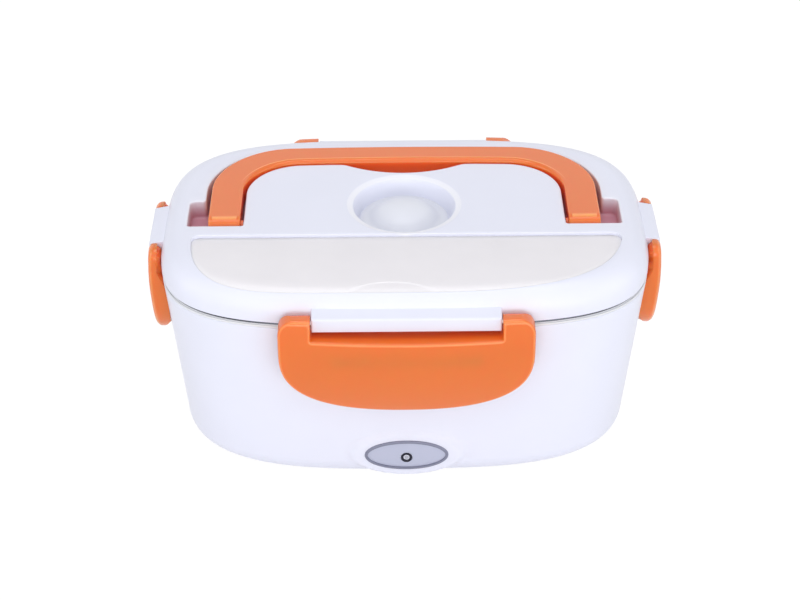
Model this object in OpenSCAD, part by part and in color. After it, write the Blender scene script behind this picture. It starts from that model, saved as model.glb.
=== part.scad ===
/* Electric lunch box.
   A drafted outer shell holds a plastic well with a heating plate in its floor. A steel food
   container hangs in the well, and a lift-off lid with four snap latches closes it.
   Units are millimetres. X runs along the width, the badge looks along -Y and Z points up.
   The origin is at the centre of the footprint, on the surface that the feet stand on. */

/* [Case] */
// Width of the lid outline, without the side latches
body_w = 221.4; // [200:0.2:270]
// Depth of the lid outline, without the front and rear latches
body_d = 145.8; // [140:0.2:176]
// Height of the seam where the lid meets the case
seam_z = 92.1; // [84:0.1:112]
// How much narrower the case is at its foot, each side
case_draft = 6.5; // [3:0.1:9]
// Radius of the case's bottom edge
foot_fillet = 12.8; // [9:0.1:15]
// Wall of the outer shell
shell_wall = 2.2; // [1.8:0.1:2.8]
// Squareness of the outline at the seam, 2 is an ellipse
corner_top = 3.6; // [3:0.1:4.4]
// Squareness of the outline at the foot
corner_foot = 3.1; // [2.6:0.1:3.6]

/* [Lid] */
// Height of the lid from the seam to its flat top
lid_h = 14.8; // [13.6:0.1:18]
// Width of the rounded shoulder around the lid's top
shoulder_w = 10.4; // [8:0.1:12]
// Wall of the lid
lid_wall = 1.8; // [1.5:0.1:2]
// Radius of the vent recess at its lip
vent_r = 24.3; // [20:0.1:25]
// Depth of the handle channel and of the vent recess
channel_depth = 8.9; // [8.5:0.1:9.2]

/* [Cutlery compartment] */
// Distance from the lid's front to the compartment cover
cover_margin = 7; // [6:0.1:8]
// Depth of the cover, front to back
cover_d = 44; // [36:0.1:46]
// Thickness of the cover
cover_t = 1.6; // [1.4:0.1:1.8]

/* [Handle] */
// Gap from the lid's side to the handle's arm
handle_margin = 21.5; // [20:0.1:24]
// Width of each arm
arm_w = 15.9; // [13:0.1:18]
// Width of the cross bar
bar_w = 12.6; // [11:0.1:14]
// Thickness of the handle
handle_t = 9.6; // [8.8:0.1:9.8]
// Diameter of the handle's pivot pins
handle_pin_d = 3; // [2.4:0.1:3.6]

/* [Latches] */
// Length of the front and rear lugs
lug_long = 82; // [60:0.2:96]
// Length of the side lugs
lug_short = 31.2; // [26:0.2:40]
// Width of each ear on the front and rear latches
ear_long = 14.2; // [10:0.1:16]
// Width of each ear on the side latches
ear_short = 8.4; // [7:0.1:10]
// How far the front and rear latches stand out from the seam
latch_proud_long = 11.1; // [10:0.1:12]
// How far the side latches stand out from the seam
latch_proud_short = 8.1; // [7.6:0.1:9]
// Height of a latch from its tip to the top of its ears
latch_h = 49.5; // [42:0.1:54]
// Diameter of the latch pins
latch_pin_d = 2.4; // [2:0.1:2.6]

/* [Inside] */
// Wall of the plastic well
liner_wall = 1.8; // [1.5:0.1:2.2]
// Sheet thickness of the food container
steel_t = 0.8; // [0.6:0.1:1]
// Diameter of the heating plate
plate_d = 76; // [60:0.5:84]
// Height of the well's floor above the surface
floor_z = 23.4; // [22.6:0.1:28]

/* [Clearances] */
// Running clearance of a pin in its bore, on the radius
pin_gap = 0.06; // [0.04:0.01:0.1]
// Gap between a moving piece and its neighbour
move_gap = 0.4; // [0.3:0.05:0.5]
// Gap around the handle in its channel
channel_gap = 1.4; // [1.2:0.05:1.6]
// Gap between the food container and the well
pot_gap = 1.2; // [0.8:0.05:1.6]

/* [Hidden] */

RING = 64;         // points around each lofted outline
ROUND = 64;        // facets of a round piece
eps = 0.01;
far = 400;         // longer than the part, for cuts that run right through

half_w = body_w / 2;
half_d = body_d / 2;
slim = half_w - half_d;                // every outline is this much shallower than wide
top_z = seam_z + lid_h;                // flat top of the lid

// Case, from the surface up
foot_h = 1;                            // the feet stand this proud of the base
foot_r = 6;
cover_base_t = 1.8;                    // base cover
ledge_z = foot_h + cover_base_t;       // underside of the shell's ledge
shell_floor_z = ledge_z + 1.7;
foot_a = half_w - 0.2 - case_draft;    // half width just above the bottom edge
shell_top_z = seam_z - 2.6;
shell_top_a = half_w - 0.2;
flange_t = 1.5;                        // flange of the well, on the shell's rim
rim_t = 0.8;                           // flange of the food container
rim_z = shell_top_z + flange_t;        // underside of the container's rim
base_a = foot_a - 19;                  // half width of the base cover
base_gap = 0.3;
inner_foot_a = foot_a - shell_wall;
inner_fillet = foot_fillet - 3.5;
fillet_z = foot_h + foot_fillet;       // height where the bottom edge meets the wall
wall_slope = (shell_top_a - foot_a) / (shell_top_z - fillet_z);

// Well and food container
pot_rim_a = half_w - 1.7;
pot_top_a = half_w - 7.7;              // outside of the container's wall at its rim
pot_floor_z = floor_z + 1;             // the container stands on the heating plate
pot_foot_a = pot_top_a - 9;
pot_fillet = 8;
liner_flange_a = half_w - 0.6;
liner_top_a = pot_top_a + pot_gap;
liner_foot_a = pot_foot_a + pot_gap;
skirt_a = shell_top_a - shell_wall - 0.8;
skirt_z = shell_top_z - 4.5;

// Heater, hung under the heating plate
plate_r = plate_d / 2;
hub_r = plate_r - 4;
hub_z = floor_z - liner_wall - 2;      // underside of the plate's hub
heater_l = 40;
heater_w = 24;
heater_t = 6;
boss_x = 28;                           // clamp screws, each side
boss_r = 4;
clamp_t = 1;
clamp_z = hub_z - heater_t - clamp_t;
m3_r = 1.5;
m3_head_r = 2.8;

// Base screws and the well's pillars
screw_x = 58;
screw_y = 30;
pillar_r = 4.5;
pillar_z = ledge_z + 2.2;              // top of the screw bosses on the base cover
screw_r = 1.25;
foot_x = 69;
foot_y = 26;

// Badge with the lamp, low on the front, and the inlet, low on the rear
badge_z = 17.4;
inlet_z = 14.6;
pad_w = 52;                            // oval pads, which the case's wall swells out to
pad_h = 24;
pad_step = 1.2;                        // height of the swelling's outer step
pad_y = foot_a - slim + 2.2;           // face of both pads
ring_w = 38.4;
ring_h = 16.6;
ring_t = 1.3;                          // width of the ring's band
badge_recess = 0.8;
lamp_z = badge_z - 1.4;
lens_r = 1.5;
bezel_r = 2.6;
led_r = 1.9;
board_y = pad_y - 7.6;                 // front face of the lamp board
board_t = 1.6;
board_w = 30;
board_h = 14;
post_x = 11;
post_r = 3;
m2_r = 0.87;
m2_head_r = 1.8;
inlet_w = 22;
inlet_h = 12;
inlet_flange = 2;
inlet_depth = 17;
socket_w = 16.8;
socket_h = 8.2;
socket_depth = 12;
prong_gap = 8.6;                       // between the centres of the two prongs
prong_r = 1.2;
prong_back = pad_y - inlet_depth - 3;  // rear ends of the prongs, where the leads start

// Lid
seal_t = 2.8;
seal_z = rim_z + rim_t;                // the seal lies on the container's rim
plug_a = pot_top_a - 2.1;              // inner panel, inside the container's mouth
panel_z = seal_z - 3.8;
panel_t = 1.6;
panel_flange_z = seal_z + seal_t;
panel_flange_t = 1.4;
lid_side_wall = 2.2;
lid_step_z = panel_flange_z + panel_flange_t;
shoulder_h = lid_h - 3;                // height of the rounded shoulder
channel_z = top_z - channel_depth;     // floor of the channel and of the vent recess
vent_y = 4.7;
vent_lip = 1.9;
vent_floor_r = vent_r - 3.1;
vent_hole_r = 4.2;
plug_flange_r = vent_floor_r - 0.8;
plug_dome_r = 14.5;
plug_dome_h = 6.6;
plug_flange_t = 1.2;

// Cutlery compartment: the cover is a half moon in front of a straight edge
cover_a = half_w - cover_margin - 5;
cover_b = half_d - cover_margin;
cover_edge_y = cover_d - cover_b;      // straight rear edge of the cover
cover_top_z = top_z - 1.5;
cover_z = cover_top_z - cover_t;
recess_gap = 0.3;
tray_inset = 7;                        // ledge that carries the cover
tray_z = panel_z + panel_t + 1.4 + lid_wall;
cover_pin_r = 0.6;
cover_pin_y = cover_edge_y - cover_t / 2;
cover_pin_z = cover_z + cover_t / 2;
notch_x = -6.5;                        // thumb notch in the cover's front edge
notch_r = 31.4;

// Handle, a bail that folds flat into the channel
arm_x = half_w - handle_margin;        // outer face of an arm
bar_y = half_d - 19.9;                 // rear of the bar at its ends
bar_bow = 2.4;
bail_r = 36;
bail_inner_r = bail_r - 10;
handle_proud = 1.5;
handle_z = top_z + handle_proud - handle_t;
pivot_y = -8.2;
pivot_z = handle_z + handle_t / 2;
handle_pin_r = handle_pin_d / 2;
scoop_w = 56.8;                        // finger scoop behind the vent
scoop_d = 8.4;
scoop_r = (pow(scoop_w / 2, 2) + scoop_d * scoop_d) / (2 * scoop_d);
pocket_w = 8.1;                        // side pockets beside the ends of the arms
pocket_back_y = 8;

// Lugs, latches and the ridges that the latches snap under
lug_proud = 5.6;
lug_h = 6.7;
lug_z = seam_z + 0.2;
pin_inset = 2;                         // from the lug's face to the pin
latch_pin_z = lug_z + 3.9;
latch_pin_r = latch_pin_d / 2;
ear_r = lug_proud - pin_inset - 0.3;
ear_top_z = latch_pin_z + ear_r;
latch_tip_z = ear_top_z - latch_h;
latch_edge_z = lug_z - 4.4;            // top edge of the plate, under the lug
latch_bow_r = 89;                      // bow of the latch's outer face, top to bottom
latch_bow_z = 81;
latch_wall = 2.6;
ridge_proud = 1.6;
ridge_z = shell_top_z - 7;
ridge_h = 3;
ridge_long = 34;                       // half length of a ridge
ridge_short = 7;

// ---------------------------------------------------------------- outlines and lofts

function signed_pow(v, e) = sign(v) * pow(abs(v), e);

// A rounded rectangle that is half_x by half_y, squarer as n grows
function oval(half_x, half_y, n) = [for (i = [0 : RING - 1]) let (t = 360 * i / RING)
    [half_x * signed_pow(cos(t), 2 / n), half_y * signed_pow(sin(t), 2 / n)]];

// The case's outline at half width a, as a ring at height z
function ring(a, n, z) = [for (p = oval(a, a - slim, n)) [p[0], p[1], z]];

// Squareness of the case's outline at height z
function corner_at(z) = corner_foot + (corner_top - corner_foot) * min(1, z / shell_top_z);

// Rings of a rounded bottom edge: half width a at height z, turned in by radius r
function edge_rings(a, z, r, steps) = [for (i = [0 : steps]) let (t = 90 * i / steps)
    ring(a - r + r * sin(t), corner_at(z), z - r * cos(t))];

function reversed(list) = [for (i = [len(list) - 1 : -1 : 0]) list[i]];

function sides(rings, count) = let (n = len(rings[0]))
    [for (k = [0 : count - 1]) let (m = (k + 1) % len(rings)) for (i = [0 : n - 1])
        let (j = (i + 1) % n)
        each [[k * n + i, m * n + i, m * n + j], [k * n + i, m * n + j, k * n + j]]];

// A solid through rings from the bottom up, closed by a cap at each end
module loft(rings) {
    n = len(rings[0]);
    last = (len(rings) - 1) * n;
    caps = [[for (i = [0 : n - 1]) i], [for (i = [n - 1 : -1 : 0]) last + i]];
    polyhedron([for (r = rings) each r], concat(caps, sides(rings, len(rings) - 1)));
}

// A hollow band whose rings run up the outside and down the inside
module band(rings) {
    polyhedron([for (r = rings) each r], sides(rings, len(rings)));
}

// Extrudes an outline in X and Y between two heights
module slab(z0, z1) { translate([0, 0, z0]) linear_extrude(z1 - z0) children(); }

// Extrudes an outline in Y and Z between two places on X
module across_x(x0, x1) {
    translate([x0, 0, 0]) rotate([90, 0, 90]) linear_extrude(x1 - x0) children();
}

// Extrudes an outline in X and Z between two places on Y
module along_y(y0, y1) {
    translate([0, y1, 0]) rotate([90, 0, 0]) linear_extrude(y1 - y0) children();
}

module rod_x(x0, x1, r) {
    translate([x0, 0, 0]) rotate([0, 90, 0]) cylinder(h = x1 - x0, r = r, $fn = ROUND);
}

module rod_y(y0, y1, r) {
    translate([0, y1, 0]) rotate([90, 0, 0]) cylinder(h = y1 - y0, r = r, $fn = ROUND);
}

module both_sides() {
    children();
    mirror([1, 0, 0]) children();
}

module at_corners(x, y) {
    for (sx = [-1, 1], sy = [-1, 1]) translate([sx * x, sy * y, 0]) children();
}

// A flat ellipse in X and Z, for the badge and the pads
module ellipse(w, h) {
    polygon([for (i = [0 : ROUND - 1]) let (t = 360 * i / ROUND) [w / 2 * cos(t), h / 2 * sin(t)]]);
}

module stadium(w, h) {
    square([w - h, h], center = true);
    for (s = [-1, 1]) translate([s * (w - h) / 2, 0]) circle(d = h, $fn = ROUND);
}

// ---------------------------------------------------------------- case

module snap_ridge(seam, length) {
    across_x(-length, length) polygon([[1.5 - seam, ridge_z - 0.6], [-seam - ridge_proud, ridge_z],
        [-seam - ridge_proud, ridge_z + ridge_h - 0.6], [1.5 - seam, ridge_z + ridge_h + 0.8]]);
}

// The four sides of the case: turns a front feature to the rear, right and left
module to_rear() { rotate([0, 0, 180]) children(); }
module to_right() { rotate([0, 0, 90]) children(); }
module to_left() { rotate([0, 0, -90]) children(); }

module oval_pad(z) {
    translate([0, 0, z]) {
        along_y(-pad_y, 4 - pad_y) ellipse(pad_w - 8, pad_h - 3);
        along_y(pad_step - pad_y, 4 - pad_y) ellipse(pad_w, pad_h);
    }
}

module outer_shell() {
    outside = concat(edge_rings(foot_a, fillet_z, foot_fillet, 5),
        [ring(shell_top_a, corner_top, shell_top_z)]);
    inside = concat([ring(shell_top_a - shell_wall, corner_top, shell_top_z)],
        reversed(edge_rings(inner_foot_a, shell_floor_z + inner_fillet, inner_fillet, 4)));
    n = corner_at(foot_h);
    ledge_a = base_a - 4;
    ledge = [ring(ledge_a, n, shell_floor_z), ring(ledge_a, n, ledge_z),
        ring(base_a + base_gap, n, ledge_z), ring(base_a + base_gap, n, foot_h)];
    color("white") difference() {
        union() {
            band(concat(outside, inside, ledge));
            snap_ridge(half_d, ridge_long);
            to_rear() snap_ridge(half_d, ridge_long);
            to_right() snap_ridge(half_w, ridge_short);
            to_left() snap_ridge(half_w, ridge_short);
            oval_pad(badge_z);
            to_rear() oval_pad(inlet_z);
            for (s = [-1, 1]) translate([s * post_x, 0, badge_z])
                rod_y(-board_y - 4, -board_y, post_r);
        }
        translate([0, 0, badge_z]) along_y(-pad_y - 1, badge_recess - pad_y)
            ellipse(ring_w + 0.2, ring_h + 0.2);
        translate([0, 0, lamp_z]) rod_y(-pad_y, -board_y, bezel_r + 0.1);
        for (s = [-1, 1]) translate([s * post_x, 0, badge_z])
            rod_y(-board_y - 3.6, -board_y + 1, m2_r + 0.03);
        translate([0, 0, inlet_z]) {
            along_y(pad_y - 12, pad_y + 1) stadium(inlet_w + 0.4, inlet_h + 0.4);
            along_y(pad_y - 1.2, pad_y + 1) stadium(inlet_w + 2 * inlet_flange + 0.4,
                inlet_h + 2 * inlet_flange + 0.4);
        }
    }
}

module base_cover() {
    color("gainsboro") difference() {
        union() {
            slab(foot_h, ledge_z) polygon(oval(base_a, base_a - slim, corner_at(foot_h)));
            at_corners(screw_x, screw_y) slab(ledge_z - eps, pillar_z) circle(r = pillar_r, $fn = ROUND);
        }
        at_corners(screw_x, screw_y) {
            slab(0, ledge_z + 0.4) circle(r = m3_head_r + 0.4, $fn = ROUND);
            slab(0, pillar_z + 1) circle(r = screw_r + 0.35, $fn = ROUND);
        }
        at_corners(foot_x, foot_y) slab(0, foot_h + 0.8) circle(r = foot_r + 0.1, $fn = ROUND);
        for (i = [-3 : 3]) translate([0, i * 5, 0]) slab(0, pillar_z) square([34, 1.8], center = true);
    }
}

module base_screws() {
    head_z = ledge_z + 0.4 - 2;
    color("silver") at_corners(screw_x, screw_y) difference() {
        union() {
            slab(head_z, ledge_z + 0.4) circle(r = m3_head_r, $fn = ROUND);
            slab(ledge_z + 0.4 - eps, 15) circle(r = screw_r, $fn = ROUND);
        }
        slab(head_z - 1, head_z + 1) {
            square([3.6, 0.8], center = true);
            square([0.8, 3.6], center = true);
        }
    }
}

module rubber_feet() {
    color("dimgray") at_corners(foot_x, foot_y) slab(0, foot_h + 0.8) circle(r = foot_r, $fn = ROUND);
}

module inner_liner() {
    liner_foot_z = floor_z - liner_wall;
    outside = concat(edge_rings(liner_foot_a + liner_wall, liner_foot_z + pot_fillet, pot_fillet, 3),
        [ring(liner_top_a + liner_wall, corner_top, skirt_z), ring(skirt_a, corner_top, skirt_z),
        ring(skirt_a, corner_top, shell_top_z), ring(liner_flange_a, corner_top, shell_top_z),
        ring(liner_flange_a, corner_top, rim_z)]);
    inside = concat([ring(liner_top_a, corner_top, rim_z)],
        reversed(edge_rings(liner_foot_a, floor_z + pot_fillet, pot_fillet, 3)));
    color("whitesmoke") difference() {
        union() {
            loft(concat(outside, inside));
            at_corners(screw_x, screw_y) slab(pillar_z, liner_foot_z + 1) circle(r = pillar_r, $fn = ROUND);
        }
        slab(0, floor_z + 5) circle(r = hub_r + move_gap, $fn = 2 * ROUND);
        at_corners(screw_x, screw_y) slab(0, 17) circle(r = screw_r + 0.03, $fn = ROUND);
    }
}

// ---------------------------------------------------------------- heater

module heating_plate() {
    color("silver") difference() {
        union() {
            slab(floor_z, pot_floor_z) circle(r = plate_r, $fn = 2 * ROUND);
            slab(hub_z, floor_z + eps) circle(r = hub_r, $fn = 2 * ROUND);
            both_sides() translate([boss_x, 0, 0]) slab(clamp_z + clamp_t, hub_z + eps)
                circle(r = boss_r, $fn = ROUND);
        }
        both_sides() translate([boss_x, 0, 0]) slab(0, hub_z + 1) circle(r = m3_r + 0.03, $fn = ROUND);
    }
}

module heater_element() {
    color("darkgray") slab(hub_z - heater_t, hub_z) square([heater_l, heater_w], center = true);
    color("silver") for (s = [-1, 1]) translate([s * 8, heater_w / 2 + 2, 0])
        slab(hub_z - 3.4, hub_z - 2.6) square([4, 4 + eps], center = true);
}

module heater_clamp() {
    color("lightgray") difference() {
        slab(clamp_z, clamp_z + clamp_t) stadium(2 * (boss_x + 6), 12);
        both_sides() translate([boss_x, 0, 0]) slab(0, hub_z) circle(r = m3_r + 0.2, $fn = ROUND);
    }
}

module clamp_screws() {
    color("silver") both_sides() translate([boss_x, 0, 0]) {
        slab(clamp_z - 2, clamp_z) circle(r = m3_head_r, $fn = ROUND);
        slab(clamp_z - eps, hub_z) circle(r = m3_r, $fn = ROUND);
    }
}

module thermostat() {
    translate([0, -22, 0]) {
        color("black") slab(hub_z - 6, hub_z - 1) circle(r = 6.5, $fn = ROUND);
        color("silver") slab(hub_z - 1 - eps, hub_z) circle(r = 8, $fn = ROUND);
        color("silver") for (s = [-1, 1]) translate([s * 3, 0, 0])
            slab(hub_z - 10, hub_z - 6 + eps) square([0.8, 4], center = true);
    }
}

module thermal_fuse() {
    color("tan") translate([0, 23, hub_z - 2.2]) {
        rod_x(-6, 6, 2.2);
        rod_x(-9, 9, 0.5);
    }
}

// ---------------------------------------------------------------- badge, lamp and inlet

module badge_ring() {
    color("slategray") translate([0, 0, badge_z]) along_y(-pad_y - 0.5, badge_recess - pad_y)
        difference() {
            ellipse(ring_w, ring_h);
            ellipse(ring_w - 2 * ring_t, ring_h - 2 * ring_t);
        }
}

module badge_plate() {
    color("lightsteelblue") difference() {
        translate([0, 0, badge_z]) along_y(-pad_y - 0.1, badge_recess - pad_y)
            ellipse(ring_w - 2 * ring_t - 0.1, ring_h - 2 * ring_t - 0.1);
        translate([0, 0, lamp_z]) rod_y(-pad_y - 1, 2 - pad_y, bezel_r + 0.1);
    }
}

module lamp_bezel() {
    color("darkslategray") translate([0, 0, lamp_z]) difference() {
        rod_y(-pad_y - 0.5, 3.4 - pad_y, bezel_r);
        rod_y(-pad_y - 1, 5 - pad_y, lens_r + 0.05);
    }
}

module lamp_lens() {
    color("gainsboro") translate([0, 0, lamp_z]) rod_y(-pad_y - 0.3, 4 - pad_y, lens_r);
}

module lamp_led() {
    color("lightcyan") translate([0, 0, lamp_z]) {
        rod_y(4 - pad_y, -board_y, lens_r);
        rod_y(-board_y - 1, -board_y, led_r);
    }
}

module lamp_board() {
    color("seagreen") difference() {
        translate([-board_w / 2, -board_y, badge_z - board_h / 2]) cube([board_w, board_t, board_h]);
        for (s = [-1, 1]) translate([s * post_x, 0, badge_z]) rod_y(-board_y - 1, board_t + 1 - board_y, 1.2);
    }
}

module board_screws() {
    color("silver") for (s = [-1, 1]) translate([s * post_x, 0, badge_z]) {
        rod_y(-board_y - 3.4, board_t - board_y + eps, m2_r);
        rod_y(board_t - board_y, board_t - board_y + 1.2, m2_head_r);
    }
}

module inlet_housing() {
    color("darkslategray") translate([0, 0, inlet_z]) difference() {
        union() {
            along_y(pad_y - 1.2, pad_y) stadium(inlet_w + 2 * inlet_flange, inlet_h + 2 * inlet_flange);
            along_y(pad_y - inlet_depth, pad_y) stadium(inlet_w, inlet_h);
        }
        along_y(pad_y - socket_depth, pad_y + 1) stadium(socket_w, socket_h);
        for (s = [-1, 1]) translate([s * prong_gap / 2, 0, 0])
            rod_y(pad_y - inlet_depth - 1, pad_y, prong_r + 0.02);
    }
}

module inlet_pins() {
    color("gold") for (s = [-1, 1]) translate([s * prong_gap / 2, 0, inlet_z])
        rod_y(prong_back, pad_y - 2.5, prong_r);
}

// ---------------------------------------------------------------- wires inside the base

// A round lead swept through a list of points
module lead(route, r) {
    facets = 8;
    last = len(route) - 1;
    rings = [for (i = [0 : last]) let (a = route[max(i - 1, 0)], b = route[min(i + 1, last)],
            d = (b - a) / norm(b - a), u = cross(d, [0.2, 0.1, 1]), n = u / norm(u), m = cross(n, d))
        [for (k = [0 : facets - 1]) let (t = 360 * k / facets) route[i] + r * (n * cos(t) - m * sin(t))]];
    loft(reversed(rings));
}

LIVE_ROUTE = [[-prong_gap / 2, prong_back - 0.4, inlet_z], [-4.6, prong_back - 3.4, inlet_z - 0.2],
    [-8, 41.6, 12.6], [-16, 39, 9.6], [-26, 35, 7.6], [-36, 26, 7],
    [-40, 12, 7], [-38, -4, 7], [-30, -17, 7], [-20, -24, 7.6], [-10, -25.6, 8.6], [-6, -24, 9.4],
    [-4, -22.4, 9.9]];
NEUTRAL_ROUTE = [[prong_gap / 2, prong_back - 0.4, inlet_z], [4.6, prong_back - 3.4, inlet_z - 0.2],
    [7, 41, 13.4], [11, 36.4, 12.8], [14, 31, 13.6],
    [13.4, 27, 15], [11.6, 24, 16.6], [9.8, 23, 17.4]];
LAMP_ROUTE = [[4, 2.4 - board_y, badge_z + 2], [5, 5 - board_y, badge_z + 1.6], [8, -53, 17.4],
    [14, -49.6, 14], [22, -45, 10.6], [32, -38, 8], [41, -26, 6.6], [44, -8, 6.6], [40, 12, 6.8],
    [32, 24, 7.6], [24, 27, 9], [16, 26, 11.6], [11, 21, 14], [9, 17.6, 15.8]];

module live_wire() { color("saddlebrown") lead(LIVE_ROUTE, 1); }
module neutral_wire() { color("royalblue") lead(NEUTRAL_ROUTE, 1); }
module lamp_wire() { color("firebrick") lead(LAMP_ROUTE, 0.7); }

// ---------------------------------------------------------------- food container

module food_container() {
    outside = concat(edge_rings(pot_foot_a, pot_floor_z + pot_fillet, pot_fillet, 3),
        [ring(pot_top_a, corner_top, rim_z), ring(pot_rim_a, corner_top, rim_z),
        ring(pot_rim_a, corner_top, seal_z)]);
    inside = concat([ring(pot_top_a - steel_t, corner_top, seal_z)],
        reversed(edge_rings(pot_foot_a - steel_t, pot_floor_z + pot_fillet, pot_fillet - steel_t, 3)));
    color("silver") loft(concat(outside, inside));
}

// ---------------------------------------------------------------- lid

// The bail's outline: straight sides, round rear corners and a rear edge that bows outwards
function bail(x, y, r, bow, front) = let (
    turn = [for (t = [0 : 7.5 : 90]) [x - r + r * cos(t), y - r + r * sin(t)]],
    rear = [for (f = [0.75, 0.5, 0.25, 0]) [(x - r) * f, y]],
    right = concat([[x, front]], turn, rear),
    left = [for (i = [len(right) - 2 : -1 : 0]) [-right[i][0], right[i][1]]])
    [for (p = concat(right, left)) [p[0], p[1] < y - r ? p[1] : p[1] + bow * (1 - pow(p[0] / x, 2))]];

// The handle's outline, grown outwards by `out` and inwards by `in`, down to y = front
module bail_band(out, in, front) {
    difference() {
        polygon(bail(arm_x + out, bar_y + out, bail_r + out, bar_bow, front));
        polygon(bail(arm_x - arm_w - in, bar_y - bar_w + 0.5 - in, bail_inner_r - in, bar_bow - 0.5,
            front - far));
    }
}

// A half moon in front of the straight line y = rear
function half_moon(half_x, half_y, n, rear) = let (start = asin(pow(-rear / half_y, n / 2)))
    [for (i = [0 : RING / 2]) let (t = start + (180 - 2 * start) * i / (RING / 2))
        [half_x * signed_pow(cos(t), 2 / n), -half_y * pow(sin(t), 2 / n)]];

module moon(grow, rear) { polygon(half_moon(cover_a + grow, cover_b + grow, corner_foot, rear)); }

// Every hollow in the lid's top, or with `wall` above 0 the plastic around it
module lid_hollows(wall) {
    out = channel_gap + wall;
    front = pivot_y - handle_t / 2 - 0.6 - wall;
    slab(channel_z - wall, top_z + 1) {
        bail_band(out, channel_gap - 0.2 + wall, front);
        for (s = [-1, 1]) translate([s > 0 ? arm_x : -arm_x - pocket_w - out, front])
            square([pocket_w + out, pocket_back_y - front + wall]);
    }
    // finger scoop, an arc that cuts into the island behind the vent
    island_y = bar_y - bar_w + 0.5 - channel_gap + 0.2 + bar_bow - 0.5;
    slab(channel_z - wall, top_z + 1) intersection() {
        translate([0, island_y - scoop_d + scoop_r]) circle(r = scoop_r + wall, $fn = 2 * ROUND);
        translate([-scoop_w / 2 - wall, island_y - scoop_d - wall])
            square([scoop_w + 2 * wall, scoop_d + wall + 4]);
    }
    // vent recess
    lip_r = vent_r + vent_lip + wall;
    translate([0, vent_y, 0]) rotate_extrude($fn = 2 * ROUND) polygon([[0, channel_z - wall],
        [vent_floor_r + wall, channel_z - wall], [vent_r + wall, top_z - 1.5],
        [vent_r + 0.5 + wall, top_z - 0.6], [lip_r, top_z], [lip_r, top_z + 1], [0, top_z + 1]]);
    // cutlery tray, with the ledge that its cover lies on
    slab(cover_z - 0.1 - wall, top_z + 1) moon(recess_gap + wall, cover_edge_y + move_gap + wall);
    slab(tray_z - wall, top_z + 1) moon(wall - tray_inset, cover_edge_y - 3 + wall);
}

function shoulder_rings(inset, drop) = [for (i = [0 : 6]) let (t = 15 * i)
    ring(half_w - inset - (shoulder_w - inset / 2) * (1 - cos(t)), corner_top,
        seam_z + 3 + (shoulder_h - drop) * sin(t))];

// A lug that a latch turns on, for the side whose outline is at `seam`
module lug(seam, length) {
    out = seam + lug_proud;
    across_x(-length / 2, length / 2) polygon([[1.6 - seam, lug_z], [-out, lug_z],
        [-out, lug_z + lug_h - 1.5], [0.5 - out, lug_z + lug_h - 0.5], [1.5 - out, lug_z + lug_h],
        [1.6 - seam, lug_z + lug_h]]);
}

module pin_place(seam) { translate([0, pin_inset - seam - lug_proud, latch_pin_z]) children(); }

module lug_bore(seam, length) { pin_place(seam) rod_x(-length, length, latch_pin_r + 0.02); }

module lid_shell() {
    side_a = half_w - lid_side_wall;
    cavity = concat([ring(side_a, corner_top, seam_z - 1), ring(side_a, corner_top, lid_step_z),
        ring(side_a - 1.2, corner_top, lid_step_z)],
        [for (r = shoulder_rings(lid_side_wall + 1.2, lid_wall + 0.4)) if (r[0][2] > lid_step_z + 0.5) r]);
    boss_x0 = arm_x - arm_w - channel_gap + 0.2;
    color("white") difference() {
        union() {
            loft(concat([ring(half_w, corner_top, seam_z)], shoulder_rings(0, 0)));
            lug(half_d, lug_long);
            to_rear() lug(half_d, lug_long);
            to_right() lug(half_w, lug_short);
            to_left() lug(half_w, lug_short);
        }
        difference() {
            loft(cavity);
            lid_hollows(lid_wall);
            both_sides() translate([0, pivot_y, pivot_z]) rod_x(boss_x0 - 6, boss_x0, handle_pin_r + 1.6);
            translate([0, vent_y, 0]) slab(panel_z + panel_t, top_z)
                circle(r = vent_hole_r + 1.6, $fn = ROUND);
        }
        lid_hollows(0);
        translate([0, vent_y, 0]) slab(panel_z, top_z) circle(r = vent_hole_r, $fn = ROUND);
        lug_bore(half_d, lug_long);
        to_rear() lug_bore(half_d, lug_long);
        to_right() lug_bore(half_w, lug_short);
        to_left() lug_bore(half_w, lug_short);
        translate([0, pivot_y, pivot_z]) both_sides() rod_x(boss_x0 - 7, boss_x0 + 5, handle_pin_r + 0.02);
        translate([0, cover_pin_y, cover_pin_z]) rod_x(-cover_a - 1.4, cover_a + 1.4, cover_pin_r + pin_gap);
    }
}

module lid_liner() {
    panel_top = panel_z + panel_t;
    flange_a = half_w - lid_side_wall - 0.3;
    color("whitesmoke") difference() {
        loft([ring(plug_a - 1.6, corner_top, panel_z), ring(plug_a, corner_top, panel_z + 1.6),
            ring(plug_a, corner_top, panel_flange_z), ring(flange_a, corner_top, panel_flange_z),
            ring(flange_a, corner_top, lid_step_z), ring(plug_a - 1.6, corner_top, lid_step_z),
            ring(plug_a - 1.6, corner_top, panel_top + 1.6), ring(plug_a - 3.2, corner_top, panel_top)]);
        translate([0, vent_y, 0]) slab(panel_z - 1, panel_top + 1) circle(r = vent_hole_r, $fn = ROUND);
    }
}

module lid_seal() {
    inner = plug_a + 0.4;
    outer = pot_rim_a - 1.8;
    color("lightgray") slab(seal_z, panel_flange_z) difference() {
        polygon(oval(outer, outer - slim, corner_top));
        polygon(oval(inner, inner - slim, corner_top));
    }
}

module vent_plug() {
    dome = [for (t = [90 : -15 : 15]) [plug_dome_r * cos(t), plug_dome_h * sin(t)]];
    color("ivory") translate([0, vent_y, channel_z]) rotate_extrude($fn = 2 * ROUND)
        polygon(concat([[0, -8]], [[0, plug_flange_t + plug_dome_h]],
            [for (p = dome) if (p[0] > 0.1) [p[0], plug_flange_t + p[1]]],
            [[plug_dome_r + 1, plug_flange_t], [plug_flange_r, plug_flange_t], [plug_flange_r, 0],
            [vent_hole_r - 0.3, 0], [vent_hole_r - 0.3, -7], [vent_hole_r - 1.3, -8]]));
}

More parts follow.
